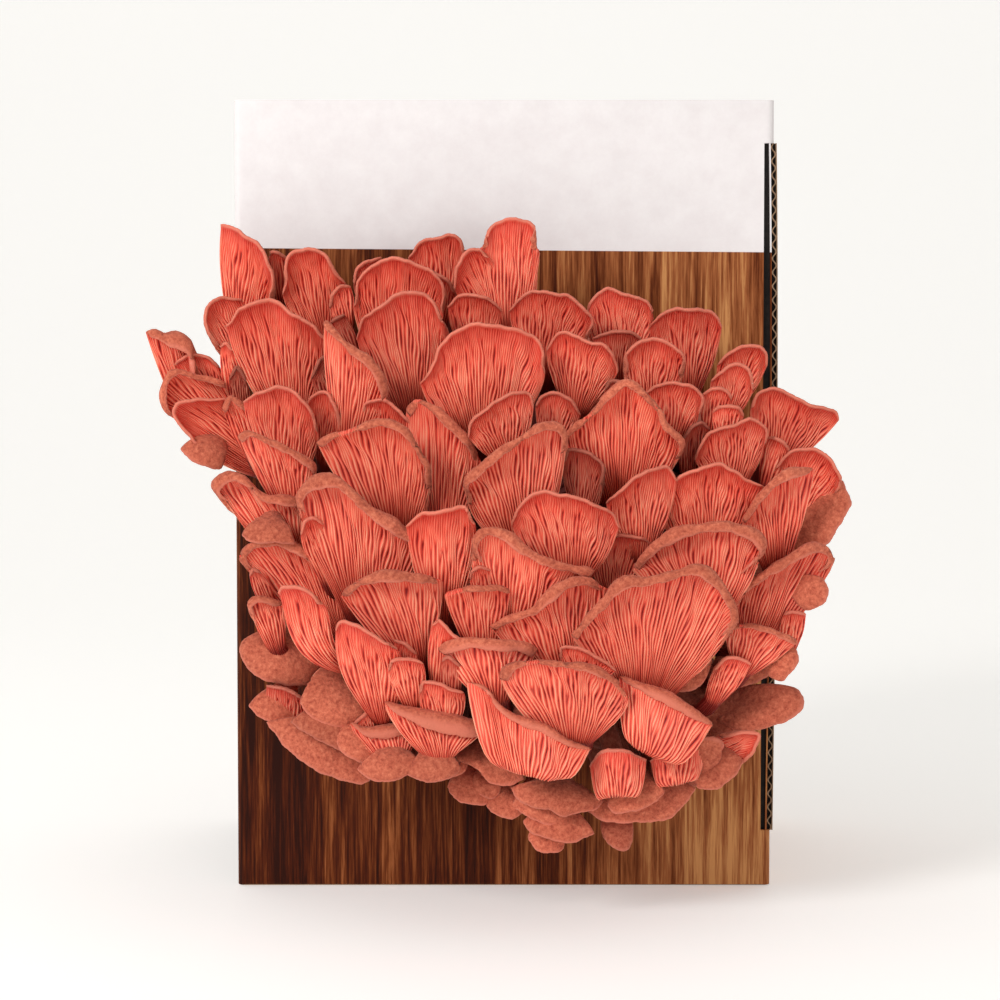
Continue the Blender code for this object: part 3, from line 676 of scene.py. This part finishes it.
    rows, felt_columns = len(sheet), (columns - 1) // every + 1
    move = np.array((0.0, -shift, 0.0))
    corners = np.concatenate([gill_side.reshape(-1, 3), felt.reshape(-1, 3)]) + move
    first_felt = rows * columns
    felt_at = np.empty((rows - 1, felt_columns), int)
    felt_at[:, 0] = np.arange(rows - 1) * columns
    felt_at[:, -1] = np.arange(rows - 1) * columns + columns - 1
    felt_at[:, 1:-1] = first_felt + np.arange((rows - 1) * (felt_columns - 2)).reshape(rows - 1, -1)
    faces = grid_faces(rows, columns)
    gill_faces = len(faces)
    # at the two sides the felt shares the outermost corners of the gill side
    for j in range(rows - 2):
        a, b = felt_at[j], felt_at[j + 1]
        faces += [(int(a[k + 1]), int(a[k]), int(b[k]), int(b[k + 1])) for k in range(felt_columns - 1)]
    last = (rows - 1) * columns
    end = felt_at[-1]
    for k in range(felt_columns - 1):
        faces.append((int(end[k + 1]), int(end[k]), *range(last + k * every, last + (k + 1) * every + 1)))
    faces.append(tuple(int(i) for i in felt_at[0]) + tuple(range(columns - 2, 0, -1)))

    piece = new_piece(name, corners * MM, faces, [gill_flesh, cap_felt])
    mesh = piece.data
    mesh.polygons.foreach_set("material_index", [0] * gill_faces + [1] * (len(faces) - gill_faces))
    felt_v = v[:-1, ::every][:, 1:-1]
    lip = soft_step((v - (lip_start - 0.02)) / 0.02)
    marks = {
        "blade": np.concatenate([blade_mark_with_cleft_shade.ravel(), np.ones(felt_v.size)]),
        "along": np.concatenate([v.ravel(), felt_v.ravel()]),
        "lip": np.concatenate([lip.ravel(), lip[:-1, ::every][:, 1:-1].ravel()]),
        "deep": np.concatenate([stem_shade_mark(len(sheet), columns).ravel(),
                                stem_shade_mark(len(sheet), columns)[:-1, ::every][:, 1:-1].ravel()]),
        # each cap's tone varies at random, and a value below 1 in the table is painted shade
        "tone": np.full(len(corners), row.get("tone", 1.0) * rng.uniform(0.93, 1.05)),
    }
    for mark, values in marks.items():
        mesh.attributes.new(mark, "FLOAT", "POINT").data.foreach_set("value", values.astype(np.float32))
    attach(piece, "root")
    return piece


def stem_shade_mark(rows, columns):
    """Painted shade along the buried stem: 1 deep in it, falling to 0 where the fan begins."""
    mark = np.zeros((rows, columns))
    mark[:STEM_ROWS] = np.linspace(1, 0.35, STEM_ROWS)[:, None]
    mark[STEM_ROWS] = 0.2
    return mark


def marked(material, name):
    return add_node(material, "ShaderNodeAttribute", attribute_name=name).outputs["Fac"]


# Gill side: coral blades with deep red between them, and painted shade darkens the clefts further.
# Painted shade also makes it darkest just under the lip and at the stem, palest over the swell in between,
# and the lip is a thin pale line.
gill_flesh = new_material("gill_flesh", 0.5, Specular_IOR_Level=0.25, Subsurface_Weight=0.15,
                          Subsurface_Radius=(1.0, 0.30, 0.20), Subsurface_Scale=0.0016)
blades = colour_ramp(gill_flesh, marked(gill_flesh, "blade"), (0.0, (0.10, 0.002, 0.003)),
                     (0.30, (0.30, 0.010, 0.010)), (0.56, (0.85, 0.112, 0.066)), (1.0, (1.0, 0.43, 0.275)))
# painted shade along the gills: dark at the stem and just under the lip, full colour over the swell
swell = colour_ramp(gill_flesh, marked(gill_flesh, "along"), (0.0, (0.30, 0.10, 0.09)),
                    (0.10, (0.66, 0.42, 0.38)), (0.30, (1.0, 0.98, 0.96)), (0.52, (1.0, 1.0, 1.0)),
                    (0.76, (0.94, 0.66, 0.64)), (0.95, (0.74, 0.28, 0.28)))
flesh = mix_colours(gill_flesh, 1.0, blades, swell, "MULTIPLY")
patches = cloud(gill_flesh, 70, Detail=3.0)
flesh = mix_colours(gill_flesh, 1.0, flesh, colour_ramp(
    gill_flesh, patches, (0.3, (0.90, 0.82, 0.80)), (0.7, (1.0, 1.0, 1.0))), "MULTIPLY")
flesh = mix_colours(gill_flesh, marked(gill_flesh, "lip"), flesh, (0.66, 0.175, 0.115))
# painted shade: the buried stem is darkened to near black
flesh = mix_colours(gill_flesh, marked(gill_flesh, "deep"), flesh, (0.035, 0.004, 0.005))
shaded = add_node(gill_flesh, "ShaderNodeHueSaturation",
                  {"Value": marked(gill_flesh, "tone"), "Color": flesh})
fine = cloud(gill_flesh, 1500, Detail=2.0)
join_shader(gill_flesh, shaded.outputs["Color"], fine, 0.15, 0.0001)

# Felt side: dusty terracotta, matted with short fibres in small darker and paler tufts.
cap_felt = new_material("cap_felt", 0.9, Specular_IOR_Level=0.1, Sheen_Weight=0.12, Sheen_Roughness=0.6,
                        Sheen_Tint=(1.0, 0.72, 0.62, 1.0))
tufts = cloud(cap_felt, 850, Detail=5.0, Roughness=0.75)
clouds = cloud(cap_felt, 85, Detail=3.0)
felt_colour = colour_ramp(cap_felt, tufts, (0.30, (0.33, 0.055, 0.033)),
                          (0.50, (0.59, 0.140, 0.078)), (0.70, (0.80, 0.245, 0.140)))
felt_colour = mix_colours(cap_felt, 1.0, felt_colour, colour_ramp(
    cap_felt, clouds, (0.32, (0.86, 0.82, 0.80)), (0.68, (1.0, 1.0, 1.0))), "MULTIPLY")
felt_colour = mix_colours(cap_felt, marked(cap_felt, "lip"), felt_colour, (0.66, 0.180, 0.115))
# painted shade: the buried stem is darkened to near black
felt_colour = mix_colours(cap_felt, marked(cap_felt, "deep"), felt_colour, (0.035, 0.004, 0.005))
shaded = add_node(cap_felt, "ShaderNodeHueSaturation",
                  {"Value": marked(cap_felt, "tone"), "Color": felt_colour})
join_shader(cap_felt, shaded.outputs["Color"], tufts, 0.8, 0.0006)

# One row for each mushroom, in millimetres. The rim runs along the edge of the cap from its
# left end to its right end, as (x, z). The root is where its gills run together. Then come how
# far the middle of the rim stands in front of the carton and how much less its ends do, the
# wrap. "hood" is the height of the felt shoulder above the rim, "belly" how far the gills swell
# forwards, "bend" a sideways bow of the stem, "broad" the width of the root as a share of the
# rim. A shelf shows its felt side, a fan its gills.
def fan(rim, root, stand, wrap, **more):
    return dict(rim=rim, root=root, front=stand, wrap=wrap, **more)


def shelf(*measures, **more):
    return fan(*measures, shelf=True, **more)


MUSHROOMS = [
    # top row, standing behind the others
    fan([(-26, 190), (-22, 194), (-17.5, 195.8), (-13.8, 197), (-11, 195), (-9.9, 191.5), (-10.8, 188)],
        (-15, 172), 28, 3),
    fan([(-79, 199), (-73, 198), (-67, 193), (-64.5, 185), (-64, 178)], (-73, 166), 30, 4),
    fan([(-62, 180), (-60, 189), (-54, 192.5), (-48, 190), (-44, 182)], (-50, 166), 34, 6),
    fan([(-4.7, 190), (-4, 196.5), (-0.5, 199.8), (4.5, 200.8), (9, 199.2), (10, 196), (9.2, 189)],
        (3, 165), 34, 4),
    fan([(25, 170), (25, 177), (29.5, 180.8), (35, 179.9), (39.5, 179), (43, 175.3), (41, 170)], (34, 158),
        34, 5),
    fan([(42, 170), (45.5, 174.5), (51, 176.2), (57, 175.5), (61, 173), (62.7, 170.5)], (53, 150), 36, 5),
    fan([(61.5, 160), (65, 163.7), (69, 166), (72, 165.7), (74.5, 163.5), (75.3, 159)], (66, 148), 38, 4),
    fan([(-80, 165), (-83.5, 171), (-83, 176), (-79, 178.3), (-73, 178.3)], (-74, 160), 36, 4),
    fan([(-41.5, 177), (-39.5, 184.5), (-34, 188.5), (-28.5, 190.6), (-24, 188.5), (-18.5, 185.5),
        (-16.3, 181), (-16, 175)], (-30, 158), 40, 7),
    fan([(-15, 176), (-11.5, 179), (-7, 180.2), (-3, 178.8), (0.5, 175)], (-7, 160), 44, 5),
    fan([(2.5, 174.5), (6, 179), (11.5, 181.2), (18, 179.7), (23, 176), (26, 172.5), (25, 168)], (13, 158),
        44, 6),
    # upper tier
    fan([(-92.5, 145), (-94, 150), (-93, 155), (-90, 157), (-84, 155.5), (-78, 153)], (-76, 140), 36, 4,
        hood=1.5),
    fan([(-78, 171), (-73, 176.5), (-66, 178), (-59, 175), (-52, 171), (-47, 164)], (-60, 142), 46, 7),
    fan([(-41, 167), (-38.5, 173.5), (-33, 177.5), (-26, 180.3), (-20, 178.8), (-16.5, 174), (-14.5, 168)],
        (-24, 145), 50, 8),
    fan([(13, 164.5), (17, 168.7), (21, 168.3), (25.5, 166.4), (30, 165.9), (32, 162.5), (33, 157)],
        (22, 147), 50, 5),
    fan([(35, 158), (35.5, 163.5), (39.5, 166.5), (45, 166.5), (50, 165), (52.4, 161.5), (51, 157)],
        (43, 145), 50, 5),
    fan([(70.5, 148.5), (73, 152), (77.5, 153.3), (83, 150.5), (90, 148.7), (94.5, 147), (96, 144.3)],
        (79, 132), 44, 3),
    fan([(-84, 134.5), (-89, 141), (-92, 147.5), (-89, 150.5), (-83, 150.5), (-77, 150.3)], (-69, 131), 46,
        4),
    fan([(-23, 154.5), (-19.5, 160.5), (-15.5, 167), (-10, 170.3), (-6, 172.3), (0, 171), (7, 169),
        (12, 164.5), (13, 158)], (-5, 136), 58, 8, belly=3),
    fan([(41, 151.5), (44, 154.3), (49, 155.3), (53.5, 154.5), (56.5, 151), (56.5, 146)], (49, 137), 54, 5),
    fan([(-73, 149.5), (-69, 152.5), (-64, 153.7), (-58, 152), (-53.5, 147), (-51.5, 142)], (-61, 125), 56,
        6, belly=3),
    fan([(-49, 170), (-46, 166.5), (-41, 161.5), (-37, 158.5), (-34.5, 153.5), (-33.5, 149)], (-43, 135),
        58, 4, hood=3),
    # middle tier
    fan([(55, 133), (57.5, 138), (61, 142.3), (66, 143.5), (70.5, 145), (74.5, 142.5), (75, 137.5)],
        (66, 125), 56, 5),
    fan([(78, 131.5), (81.5, 135), (86, 136.3), (91, 134.7), (95.5, 131), (97, 127.5), (95.5, 123.5)],
        (83, 114), 52, 5),
    fan([(-9, 139), (-7.5, 145), (-3, 149), (3, 152), (7.5, 151.8), (9.3, 147.5)], (2, 133), 62, 4),
    fan([(18.5, 138), (23, 142.5), (28.5, 147.5), (35, 153.4), (40, 150.5), (44.5, 146.5), (46, 141.5),
        (50.5, 137.5), (50, 132.5)], (36, 119), 64, 8, hood=1.5, belly=3),
    fan([(-51, 136.5), (-46, 139.2), (-39, 141.3), (-32, 142.3), (-26, 138.5), (-21.5, 131.5),
        (-20.8, 124)], (-29, 111), 67, 8, hood=1.5, belly=3),
    fan([(-25.5, 145), (-23, 148.2), (-19.5, 146.5), (-14.5, 141.5), (-10, 137), (-6.5, 131.5)], (-16, 110),
        58, 5, hood=2.5),
    fan([(-73, 138), (-70, 139.2), (-65, 137), (-60, 134.5), (-55, 131), (-53, 128.5)], (-59, 116), 62, 4,
        hood=2),
    fan([(30, 120.5), (33, 125), (38, 128.5), (43, 130.5), (47, 130.8), (50, 127.5)], (40, 105), 68, 5),
    fan([(-8.5, 119), (-9, 125), (-5, 129), (0, 133.5), (6, 138), (12, 141), (16.5, 140.3), (17.5, 134)],
        (6, 107), 70, 7, hood=2, belly=3),
    fan([(44.5, 118), (47, 123), (50.5, 128), (55, 131.3), (61, 132.2), (66, 130), (70, 127), (75, 125.8)],
        (59, 105), 65, 7, belly=3),
    fan([(69.5, 114.5), (72.5, 119.5), (77, 124.8), (82, 127.6), (88, 129)], (79, 101), 64, 4, hood=2.2),
    fan([(-56, 117), (-56.3, 121), (-52, 124.5), (-46, 124.8), (-41.5, 121), (-36, 116), (-29, 111),
        (-22.5, 107)], (-39, 88), 71, 7, hood=3.5, belly=3),
    fan([(3, 114.5), (5, 120), (10, 123.3), (16, 124), (22, 123), (27, 120.8), (31.5, 117.3), (34, 113.5)],
        (20, 97), 74, 7, belly=4),
    fan([(-26.5, 114.8), (-23, 117.3), (-17, 119), (-11.5, 120.6), (-9, 119.8), (-7.3, 115.5)], (-16, 86),
        72, 6, belly=3),
    # lower tier
    fan([(39.5, 100), (43.5, 105.5), (50, 109.8), (57, 112), (65, 112.2), (71.5, 109.3), (73.5, 105.5),
        (71.5, 102), (67, 98.5)], (60, 87), 72, 9, hood=3, belly=4),
    fan([(65.5, 90.5), (69, 94.5), (74, 98.5), (80, 102), (86, 105.8), (91, 106.3), (93.5, 103.3),
        (91, 100)], (73, 79), 65, 6, hood=3, belly=3),
    fan([(-70.5, 101.5), (-72.5, 104.5), (-69, 107.6), (-62, 108.2), (-56, 105.5), (-49.5, 100.5),
        (-42.5, 95.5)], (-48, 83), 60, 6, hood=2.5, belly=3),
    fan([(-6, 103), (-7, 107.5), (-4.5, 111), (0.5, 110.5), (6, 106.3), (13, 102.6), (20, 100.7),
        (25, 99.5)], (4, 78), 77, 6, hood=2.5, belly=4),
    fan([(-1.5, 84), (4, 86.8), (10, 89), (15, 93.3), (20, 96.7), (25, 96.8), (30, 94.5)], (19, 69), 77, 6,
        hood=2.5, belly=3),
    fan([(22, 81), (25, 85.5), (30, 91), (35, 96.2), (42, 97.2), (49, 99), (55, 100.3), (61, 96.3),
        (65, 90), (66, 85.5), (63, 82.5)], (42, 63), 84, 7, hood=2.5, belly=5),
    fan([(-44, 93), (-40, 96.6), (-34, 98.2), (-28, 98.4), (-22, 97.7), (-17.5, 97)], (-24, 73), 76, 6,
        hood=2.5, belly=2),
    fan([(-63.3, 95.3), (-61.5, 97.2), (-58, 96.8), (-54, 95.5), (-51, 93)], (-42, 72), 76, 3, belly=6,
        bend=(-8, -6)),
    shelf([(-73.5, 81), (-74, 77), (-70.5, 72), (-65, 70), (-59, 68.8), (-54, 69), (-50, 72)], (-61, 84),
          54, 6, belly=5),
    fan([(-47, 84.5), (-45, 87.3), (-41, 86.3), (-36, 83.8), (-31.5, 81.8), (-29.5, 79.5)], (-34, 57), 78,
        4, belly=6),
    fan([(-16, 77), (-12, 78.6), (-7, 79.2), (-1, 78.5), (5, 78.2), (9, 76.5)], (-1, 63), 78, 6, hood=3.5,
        belly=3),
    fan([(64.5, 84), (69, 85.4), (75, 84.3), (80, 82.2), (83.5, 80.3)], (69, 72), 70, 4, hood=1),
    shelf([(61.5, 59), (67, 56.5), (73, 56), (79, 58), (84.5, 60.5), (86.5, 64), (85, 67.5)], (65, 63), 54,
          5, belly=5),
    # bottom tier
    fan([(2, 69.5), (4, 72.8), (9, 74.8), (16, 74.5), (23, 73.3), (29, 71), (33.5, 67.5), (35.2, 63)],
        (21, 51), 84, 7, hood=1.2, belly=5),
    fan([(35, 69.3), (41, 66.3), (47, 63.5), (53, 60), (58.5, 57)], (43, 55), 77, 4, hood=3, belly=5,
        bend=(-3, -18)),
    fan([(-7.5, 68.5), (-3.5, 66.5), (0, 61.5), (5, 57.8), (11, 55.5), (17, 52.3), (24, 50)], (8, 51), 80,
        5, hood=2.5, belly=6, bend=(0, -20)),
    fan([(26, 45), (28, 49.7), (32, 51), (37, 50), (41.5, 47)], (33, 43), 71, 4, belly=5, bend=(0, -16)),
    fan([(43, 46.5), (46, 50), (50.5, 52.3), (55, 53), (58, 51.5)], (50, 45), 66, 4, belly=4,
        bend=(0, -12)),
    shelf([(-14, 48), (-9.5, 46.5), (-5.5, 44.5), (-3, 41.3), (1.5, 40), (7, 41.5)], (-8, 51), 64, 4,
          belly=4),
    shelf([(2.5, 39.5), (5, 36), (9, 33.8), (14, 33.3), (18, 31.5), (23, 32.8), (27, 33), (30, 35.5)],
          (17, 41), 64, 4, belly=5),
]
COARSE_ACROSS = 6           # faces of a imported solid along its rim

for k, row in enumerate(MUSHROOMS):
    node_name = "mushroom_%02d" % (k + 1)
    u = np.sin((np.arange(COARSE_ACROSS + 1) / COARSE_ACROSS - 0.5) * math.pi)[None, :]
    rim_row = fan_sheet(row, u, np.ones_like(u))[-1]
    packed = np.array([tuple(p.co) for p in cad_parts[node_name].data.vertices]) / MM
    gaps = np.hypot(packed[:, None, 0] - rim_row[None, :, 0], packed[:, None, 2] - rim_row[None, :, 2])
    nearest = np.unravel_index(gaps.argmin(), gaps.shape)
    shift = rim_row[nearest[1], 1] - packed[nearest[0], 1]
    piece = make_mushroom("oyster_%02d" % (k + 1), row, seed=k + 1, shift=shift)
    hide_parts(node_name)


# ---------------------------------------------------------------- small mushrooms
# Between the big caps stand many younger ones of the same kind, pale buds and narrow fans
# pushed into the gaps, and a fringe of drooping shelves under the cluster. Each is one grown
# piece on the same foot. A tone below 1 is painted shade on one that lies in the shade of its neighbours.
SMALL_MUSHROOMS = [
    # top and upper left
    fan([(-65, 190), (-64.5, 192), (-62, 191.5), (-60, 190)], (-62, 178), 27, 2, tone=0.8),
    fan([(-98.5, 167), (-96, 166.5), (-93, 164.5), (-90, 164), (-87, 161.5), (-86, 156)], (-85, 142), 34, 1,
        hood=4.5, belly=2, broad=0.28),
    fan([(-92, 160), (-90, 161.8), (-86, 162.5), (-82, 161.5), (-79.5, 159.5)], (-80, 150), 32, 3),
    fan([(-79, 165), (-77, 166), (-75.5, 164)], (-75, 150), 36, 2),
    fan([(-76.5, 156), (-74, 159.5), (-72, 155)], (-73, 148), 34, 2, tone=0.6),
    fan([(-77.5, 146), (-76, 149.5), (-73, 148), (-71, 145.5)], (-70, 133), 44, 2, hood=1.5),
    fan([(-55, 148.5), (-52.5, 151), (-50, 152), (-47.5, 151), (-45.5, 147), (-45, 141)], (-50, 132), 50,
        3),
    fan([(-53.5, 156), (-50, 162), (-47.5, 162)], (-48, 150), 40, 2, tone=0.6),
    fan([(-39, 147), (-38, 149), (-34, 149.8), (-29, 148), (-25, 144), (-22, 139.5)], (-32, 130), 53, 3),
    shelf([(-90.8, 135.8), (-88, 133.3), (-84, 131.2), (-79, 130.3)], (-80, 138), 44, 2, belly=3),
    fan([(-48, 176), (-47.5, 179.5), (-45, 182), (-42, 181.8)], (-44, 170), 35, 2),
    fan([(-41.5, 183), (-40, 187), (-36, 189.3), (-33.5, 190)], (-36, 174), 30, 2),
    fan([(-48, 171.5), (-46, 173), (-44, 174)], (-42, 163), 36, 1, tone=0.6),
    fan([(-21.5, 187.3), (-18, 186), (-14.5, 183.5), (-12.5, 180)], (-17, 172), 30, 2, tone=0.85),
    fan([(-13, 181), (-12.2, 187), (-9.5, 191.3), (-6, 192.6), (-3.5, 191)], (0, 168), 36, 3),
    fan([(26, 167.3), (29, 168.3), (32.5, 169.8), (36, 169.7), (39, 168), (40, 166.5)], (34, 155), 42, 2,
        tone=0.75),
    # middle
    fan([(10, 148), (12.5, 151.3), (16, 152), (20, 150), (23, 146.5)], (15, 136), 54, 3, tone=0.85),
    fan([(29.5, 153), (31, 155.5), (33.5, 155.5), (36.5, 154)], (33, 146), 48, 1, tone=0.6),
    fan([(17.5, 133), (19, 136), (22, 136.3), (26, 134.5), (28.5, 131), (29, 126)], (24, 116), 60, 3,
        tone=0.6),
    fan([(25, 104), (28.5, 109.3), (33, 111.8), (38, 112.2), (41.5, 110.8), (43.5, 107.5)], (33, 94), 62,
        4),
    fan([(-8.3, 99), (-8, 102), (-6, 103), (-3, 102)], (-5, 92), 72, 2),
    fan([(-15, 94.6), (-10.5, 96), (-5, 95.9), (-1, 96.2), (2, 95)], (-5, 74), 76, 3, hood=0.5, belly=2),
    fan([(-19, 86.5), (-17, 88), (-14, 85), (-10.5, 82.8), (-7.5, 82)], (-17, 64), 75, 3, belly=4),
    fan([(-16.5, 76), (-14.5, 77.5), (-11.5, 75)], (-14, 66), 74, 1, belly=2, tone=0.8),
    fan([(-22.7, 67), (-21.5, 70.3), (-16, 69.6), (-10.5, 67.3)], (-16, 54), 75, 2, belly=2),
    fan([(16.8, 77), (17.2, 80), (21, 80), (27, 77.5), (33, 73.5)], (24, 68), 78, 2, belly=2),
    fan([(-32, 74), (-31, 76.6), (-26.5, 77), (-22, 75.3)], (-25, 62), 75, 2, belly=3),
    fan([(-30, 82), (-27, 81), (-24, 78.2)], (-27, 70), 72, 2, tone=0.8),
    # right side
    shelf([(47.5, 69), (52, 67), (57, 69.5), (60, 75.5)], (55, 79), 66, 2, belly=3),
    shelf([(58, 66), (66, 67.5), (75, 71), (83, 75.5)], (67, 80), 52, 2, belly=3, tone=0.75),
    shelf([(56, 57), (63, 55), (71, 57.5), (79, 61)], (66, 68), 50, 2, belly=3, tone=0.8),
    shelf([(40, 66), (47, 61), (55, 60.5), (62, 64)], (52, 73), 50, 2, belly=3, tone=0.5),
    shelf([(50, 50), (58, 48.5), (66, 51), (72, 55.5)], (60, 60), 50, 2, belly=3, tone=0.85),
    shelf([(20, 55), (30, 50), (42, 50), (52, 54)], (36, 64), 44, 2, belly=3, tone=0.3),
    shelf([(81, 101.5), (87, 104), (92.5, 109.5), (97, 116), (99.3, 121), (97, 127)], (82, 118), 48, 3,
          belly=3),
    fan([(59.5, 155.5), (62, 158), (66, 159.7), (69, 159.2), (71, 157), (71.8, 153)], (64, 144), 46, 3),
    fan([(57, 151.5), (59.5, 153), (62, 153.3), (64, 152.2), (65.3, 150)], (60, 141), 50, 2),
    fan([(60, 146.5), (62, 148), (65, 148.3), (67.5, 147.5), (68.8, 145.5)], (64, 138), 53, 2),
    fan([(51, 138.5), (53.5, 142.7), (56.5, 144), (59.3, 142)], (54, 128), 52, 2, tone=0.6),
    fan([(75.5, 139.5), (78, 139), (80.5, 137.5), (82, 135.5)], (76, 126), 50, 2),
    shelf([(87, 89.8), (91, 92), (92.7, 95.5), (91, 99.5)], (84, 97), 62, 2, belly=3),
    fan([(80.5, 89.5), (83, 90.5), (86.5, 89.5)], (82, 79), 60, 1),
    fan([(61, 73.5), (63.5, 77), (67.5, 76.9), (71.3, 74.8)], (61, 64), 70, 2, belly=2),
    shelf([(80, 70), (82, 72.5), (84.7, 76.5), (84, 79.5)], (75, 76), 64, 2, belly=3),
    fan([(63, 54.5), (68, 55.3), (73.5, 55), (72, 50.5), (69.5, 46.5)], (59, 47), 64, 3),
    shelf([(56, 39.5), (61, 39), (65, 41.5), (67.5, 44.3), (69.3, 47)], (58, 50), 64, 2, belly=3, tone=0.9),
    fan([(62.5, 51), (62, 53), (59, 54), (56, 54)], (58, 44), 66, 1, belly=2),
    # fringe under the cluster
    shelf([(30.5, 34), (33, 32.2), (38, 33), (43, 34.8), (47, 38)], (39, 43), 66, 2, belly=3),
    shelf([(25, 32), (30, 29.7), (37, 29.6), (44, 29.8), (49, 31.5), (53, 35.5), (56, 39)], (43, 44), 60, 4,
          belly=4),
    shelf([(6, 29.5), (9, 26.5), (14, 25), (20, 24), (27, 26)], (16, 34), 60, 2, belly=3),
    shelf([(8, 25), (11, 21.5), (15, 21), (18, 21.5)], (14, 30), 56, 2, belly=2),
    shelf([(29, 25), (32, 22.5), (35.5, 21.7), (37.5, 24)], (33, 33), 54, 2, belly=2, tone=0.8),
    shelf([(3, 34), (8, 31.5), (12, 29.5), (16.5, 28.8), (18.5, 30.5)], (10, 40), 60, 2, belly=3),
    shelf([(-4, 34.5), (-1, 32), (3, 30.8), (7, 32.5)], (2, 40), 58, 2, belly=3),
    shelf([(-8, 39), (-3, 36.5), (0, 38)], (-4, 44), 58, 1, belly=2),
    shelf([(-15, 40), (-14, 37.5), (-11, 35.5), (-6, 34.8), (-3, 35)], (-9, 44), 58, 2, belly=3),
    shelf([(-18, 42.5), (-14, 43), (-10, 44.5)], (-12, 49), 60, 1, belly=2),
    shelf([(-41, 44.5), (-38, 42.3), (-33, 41.5), (-27, 43), (-21, 45.3)], (-30, 50), 72, 3, belly=4),
    shelf([(-27, 43.5), (-22, 41.5), (-16, 42), (-11, 44.5)], (-18, 50), 73, 2, belly=4, tone=0.9),
    # lower left
    shelf([(-55, 67.5), (-56.5, 63.5), (-53, 59.5), (-48, 57.3), (-43, 57), (-38, 59)], (-46, 74), 64, 3,
          belly=4),
    shelf([(-71.5, 62.8), (-69, 60.3), (-64.5, 57.8), (-59.5, 55)], (-61, 67), 56, 2, belly=3),
    fan([(-66, 69.5), (-62, 69), (-58, 67), (-55.5, 64.5)], (-60, 54), 58, 2, belly=2, tone=0.7),
    shelf([(-67, 58), (-62, 52), (-55, 46.5), (-48, 42.5), (-41, 40.5), (-37, 41)], (-47, 57), 62, 3,
          belly=5, tone=0.95),
    shelf([(-60, 58), (-54, 54.5), (-48, 51.5), (-42, 49.5)], (-47, 62), 64, 2, belly=4, tone=0.85),
    shelf([(-46.5, 54), (-46, 51.5), (-43, 48.5), (-39, 46.8), (-35, 47.3), (-33, 50)], (-38, 59), 66, 2,
          belly=3),
    fan([(-45, 55.5), (-41, 59), (-37, 62.5), (-33.5, 64)], (-38, 53), 64, 2),
    fan([(-40.5, 56.3), (-37, 53.8), (-32.5, 53.6), (-28, 54.5), (-23.5, 56)], (-30, 46.5), 68, 2, hood=4,
        belly=3),
    fan([(-30, 61), (-24.5, 58), (-19, 55.8), (-13, 54.5), (-7, 53.8)], (-17, 47.5), 74, 2, hood=6,
        belly=2),
    fan([(-77, 120.5), (-79, 124.3), (-76, 126.7), (-71.5, 125.5), (-66, 121), (-61, 119.8), (-57, 119.5)],
        (-60, 104), 62, 4, hood=3, belly=2),
    shelf([(-73.5, 111.5), (-70, 109.5), (-64, 109.5), (-58, 109)], (-65, 116), 64, 2, belly=2),
    fan([(-70, 88), (-70.5, 91), (-67.5, 92.3), (-62, 91)], (-64, 79), 60, 2, hood=2),
    fan([(-57, 112.5), (-56, 116), (-53.5, 116.8), (-50.5, 114.5)], (-49, 98), 66, 2),
    fan([(-71, 101), (-70, 102.5), (-68, 101)], (-66, 92), 58, 1, tone=0.8),
]
for k, row in enumerate(SMALL_MUSHROOMS):
    make_mushroom("young_oyster_%02d" % (k + 1), row, seed=200 + k, detail=1.15)


sweep = start_from(bpy.ops.mesh.primitive_plane_add, "studio_sweep", size=6.0, location=(0, -1.0, -0.0002))
choose(sweep, edges=lambda e: min(v.co.y for v in e.verts) > 1.9)
bpy.ops.mesh.extrude_region_move(TRANSFORM_OT_translate={"value": (0, 0, 3.0)})
leave_edit()
choose(sweep, edges=lambda e: all(abs(v.co.y - 2.0) < 0.01 and v.co.z < 0.01 for v in e.verts))
bpy.ops.mesh.bevel(offset=1.2, segments=16, affect="EDGES")
leave_edit()
pale_paper = new_material("studio_paper", 0.9, Base_Color=(0.93, 0.92, 0.90, 1.0),
                          Emission_Color=(1.0, 0.985, 0.96, 1.0), Emission_Strength=0.27)
sweep.data.materials.append(pale_paper)
sweep.data.shade_smooth()

world = bpy.data.worlds.new("studio")
bpy.context.scene.world = world
world.use_nodes = True
world.node_tree.nodes["Background"].inputs["Color"].default_value = (1.0, 0.99, 0.97, 1.0)
world.node_tree.nodes["Background"].inputs["Strength"].default_value = 0.55


def soft_light(name, place, aim, size, power):
    light = bpy.data.lights.new(name, "AREA")
    light.shape, light.size, light.energy = "DISK", size, power
    lamp = bpy.data.objects.new(name, light)
    lamp.location, lamp.visible_camera = place, False
    lamp.rotation_euler = (Vector(aim) - Vector(place)).to_track_quat("-Z", "Y").to_euler()
    bpy.context.scene.collection.objects.link(lamp)


kit_middle = (0.0, front, 0.12)
soft_light("key", (-0.85, -1.15, 0.75), kit_middle, 0.5, 12.0)
soft_light("fill", (0.5, -1.3, 0.12), kit_middle, 0.7, 3.0)

CAMERA_DISTANCE = 0.721
CAMERA_TILT = math.radians(3.0)
aim = Vector((-0.0012, front, 0.1187))
camera = bpy.data.objects.new("camera", bpy.data.cameras.new("camera"))
camera.data.lens, camera.data.sensor_width = 85.0, 36.0
camera.location = aim + Vector((0, -math.cos(CAMERA_TILT), math.sin(CAMERA_TILT))) * CAMERA_DISTANCE
camera.rotation_euler = (aim - camera.location).to_track_quat("-Z", "Y").to_euler()
camera.data.clip_start = 0.01
bpy.context.scene.collection.objects.link(camera)
bpy.context.scene.camera = camera
bpy.context.scene.view_settings.view_transform = "Standard"
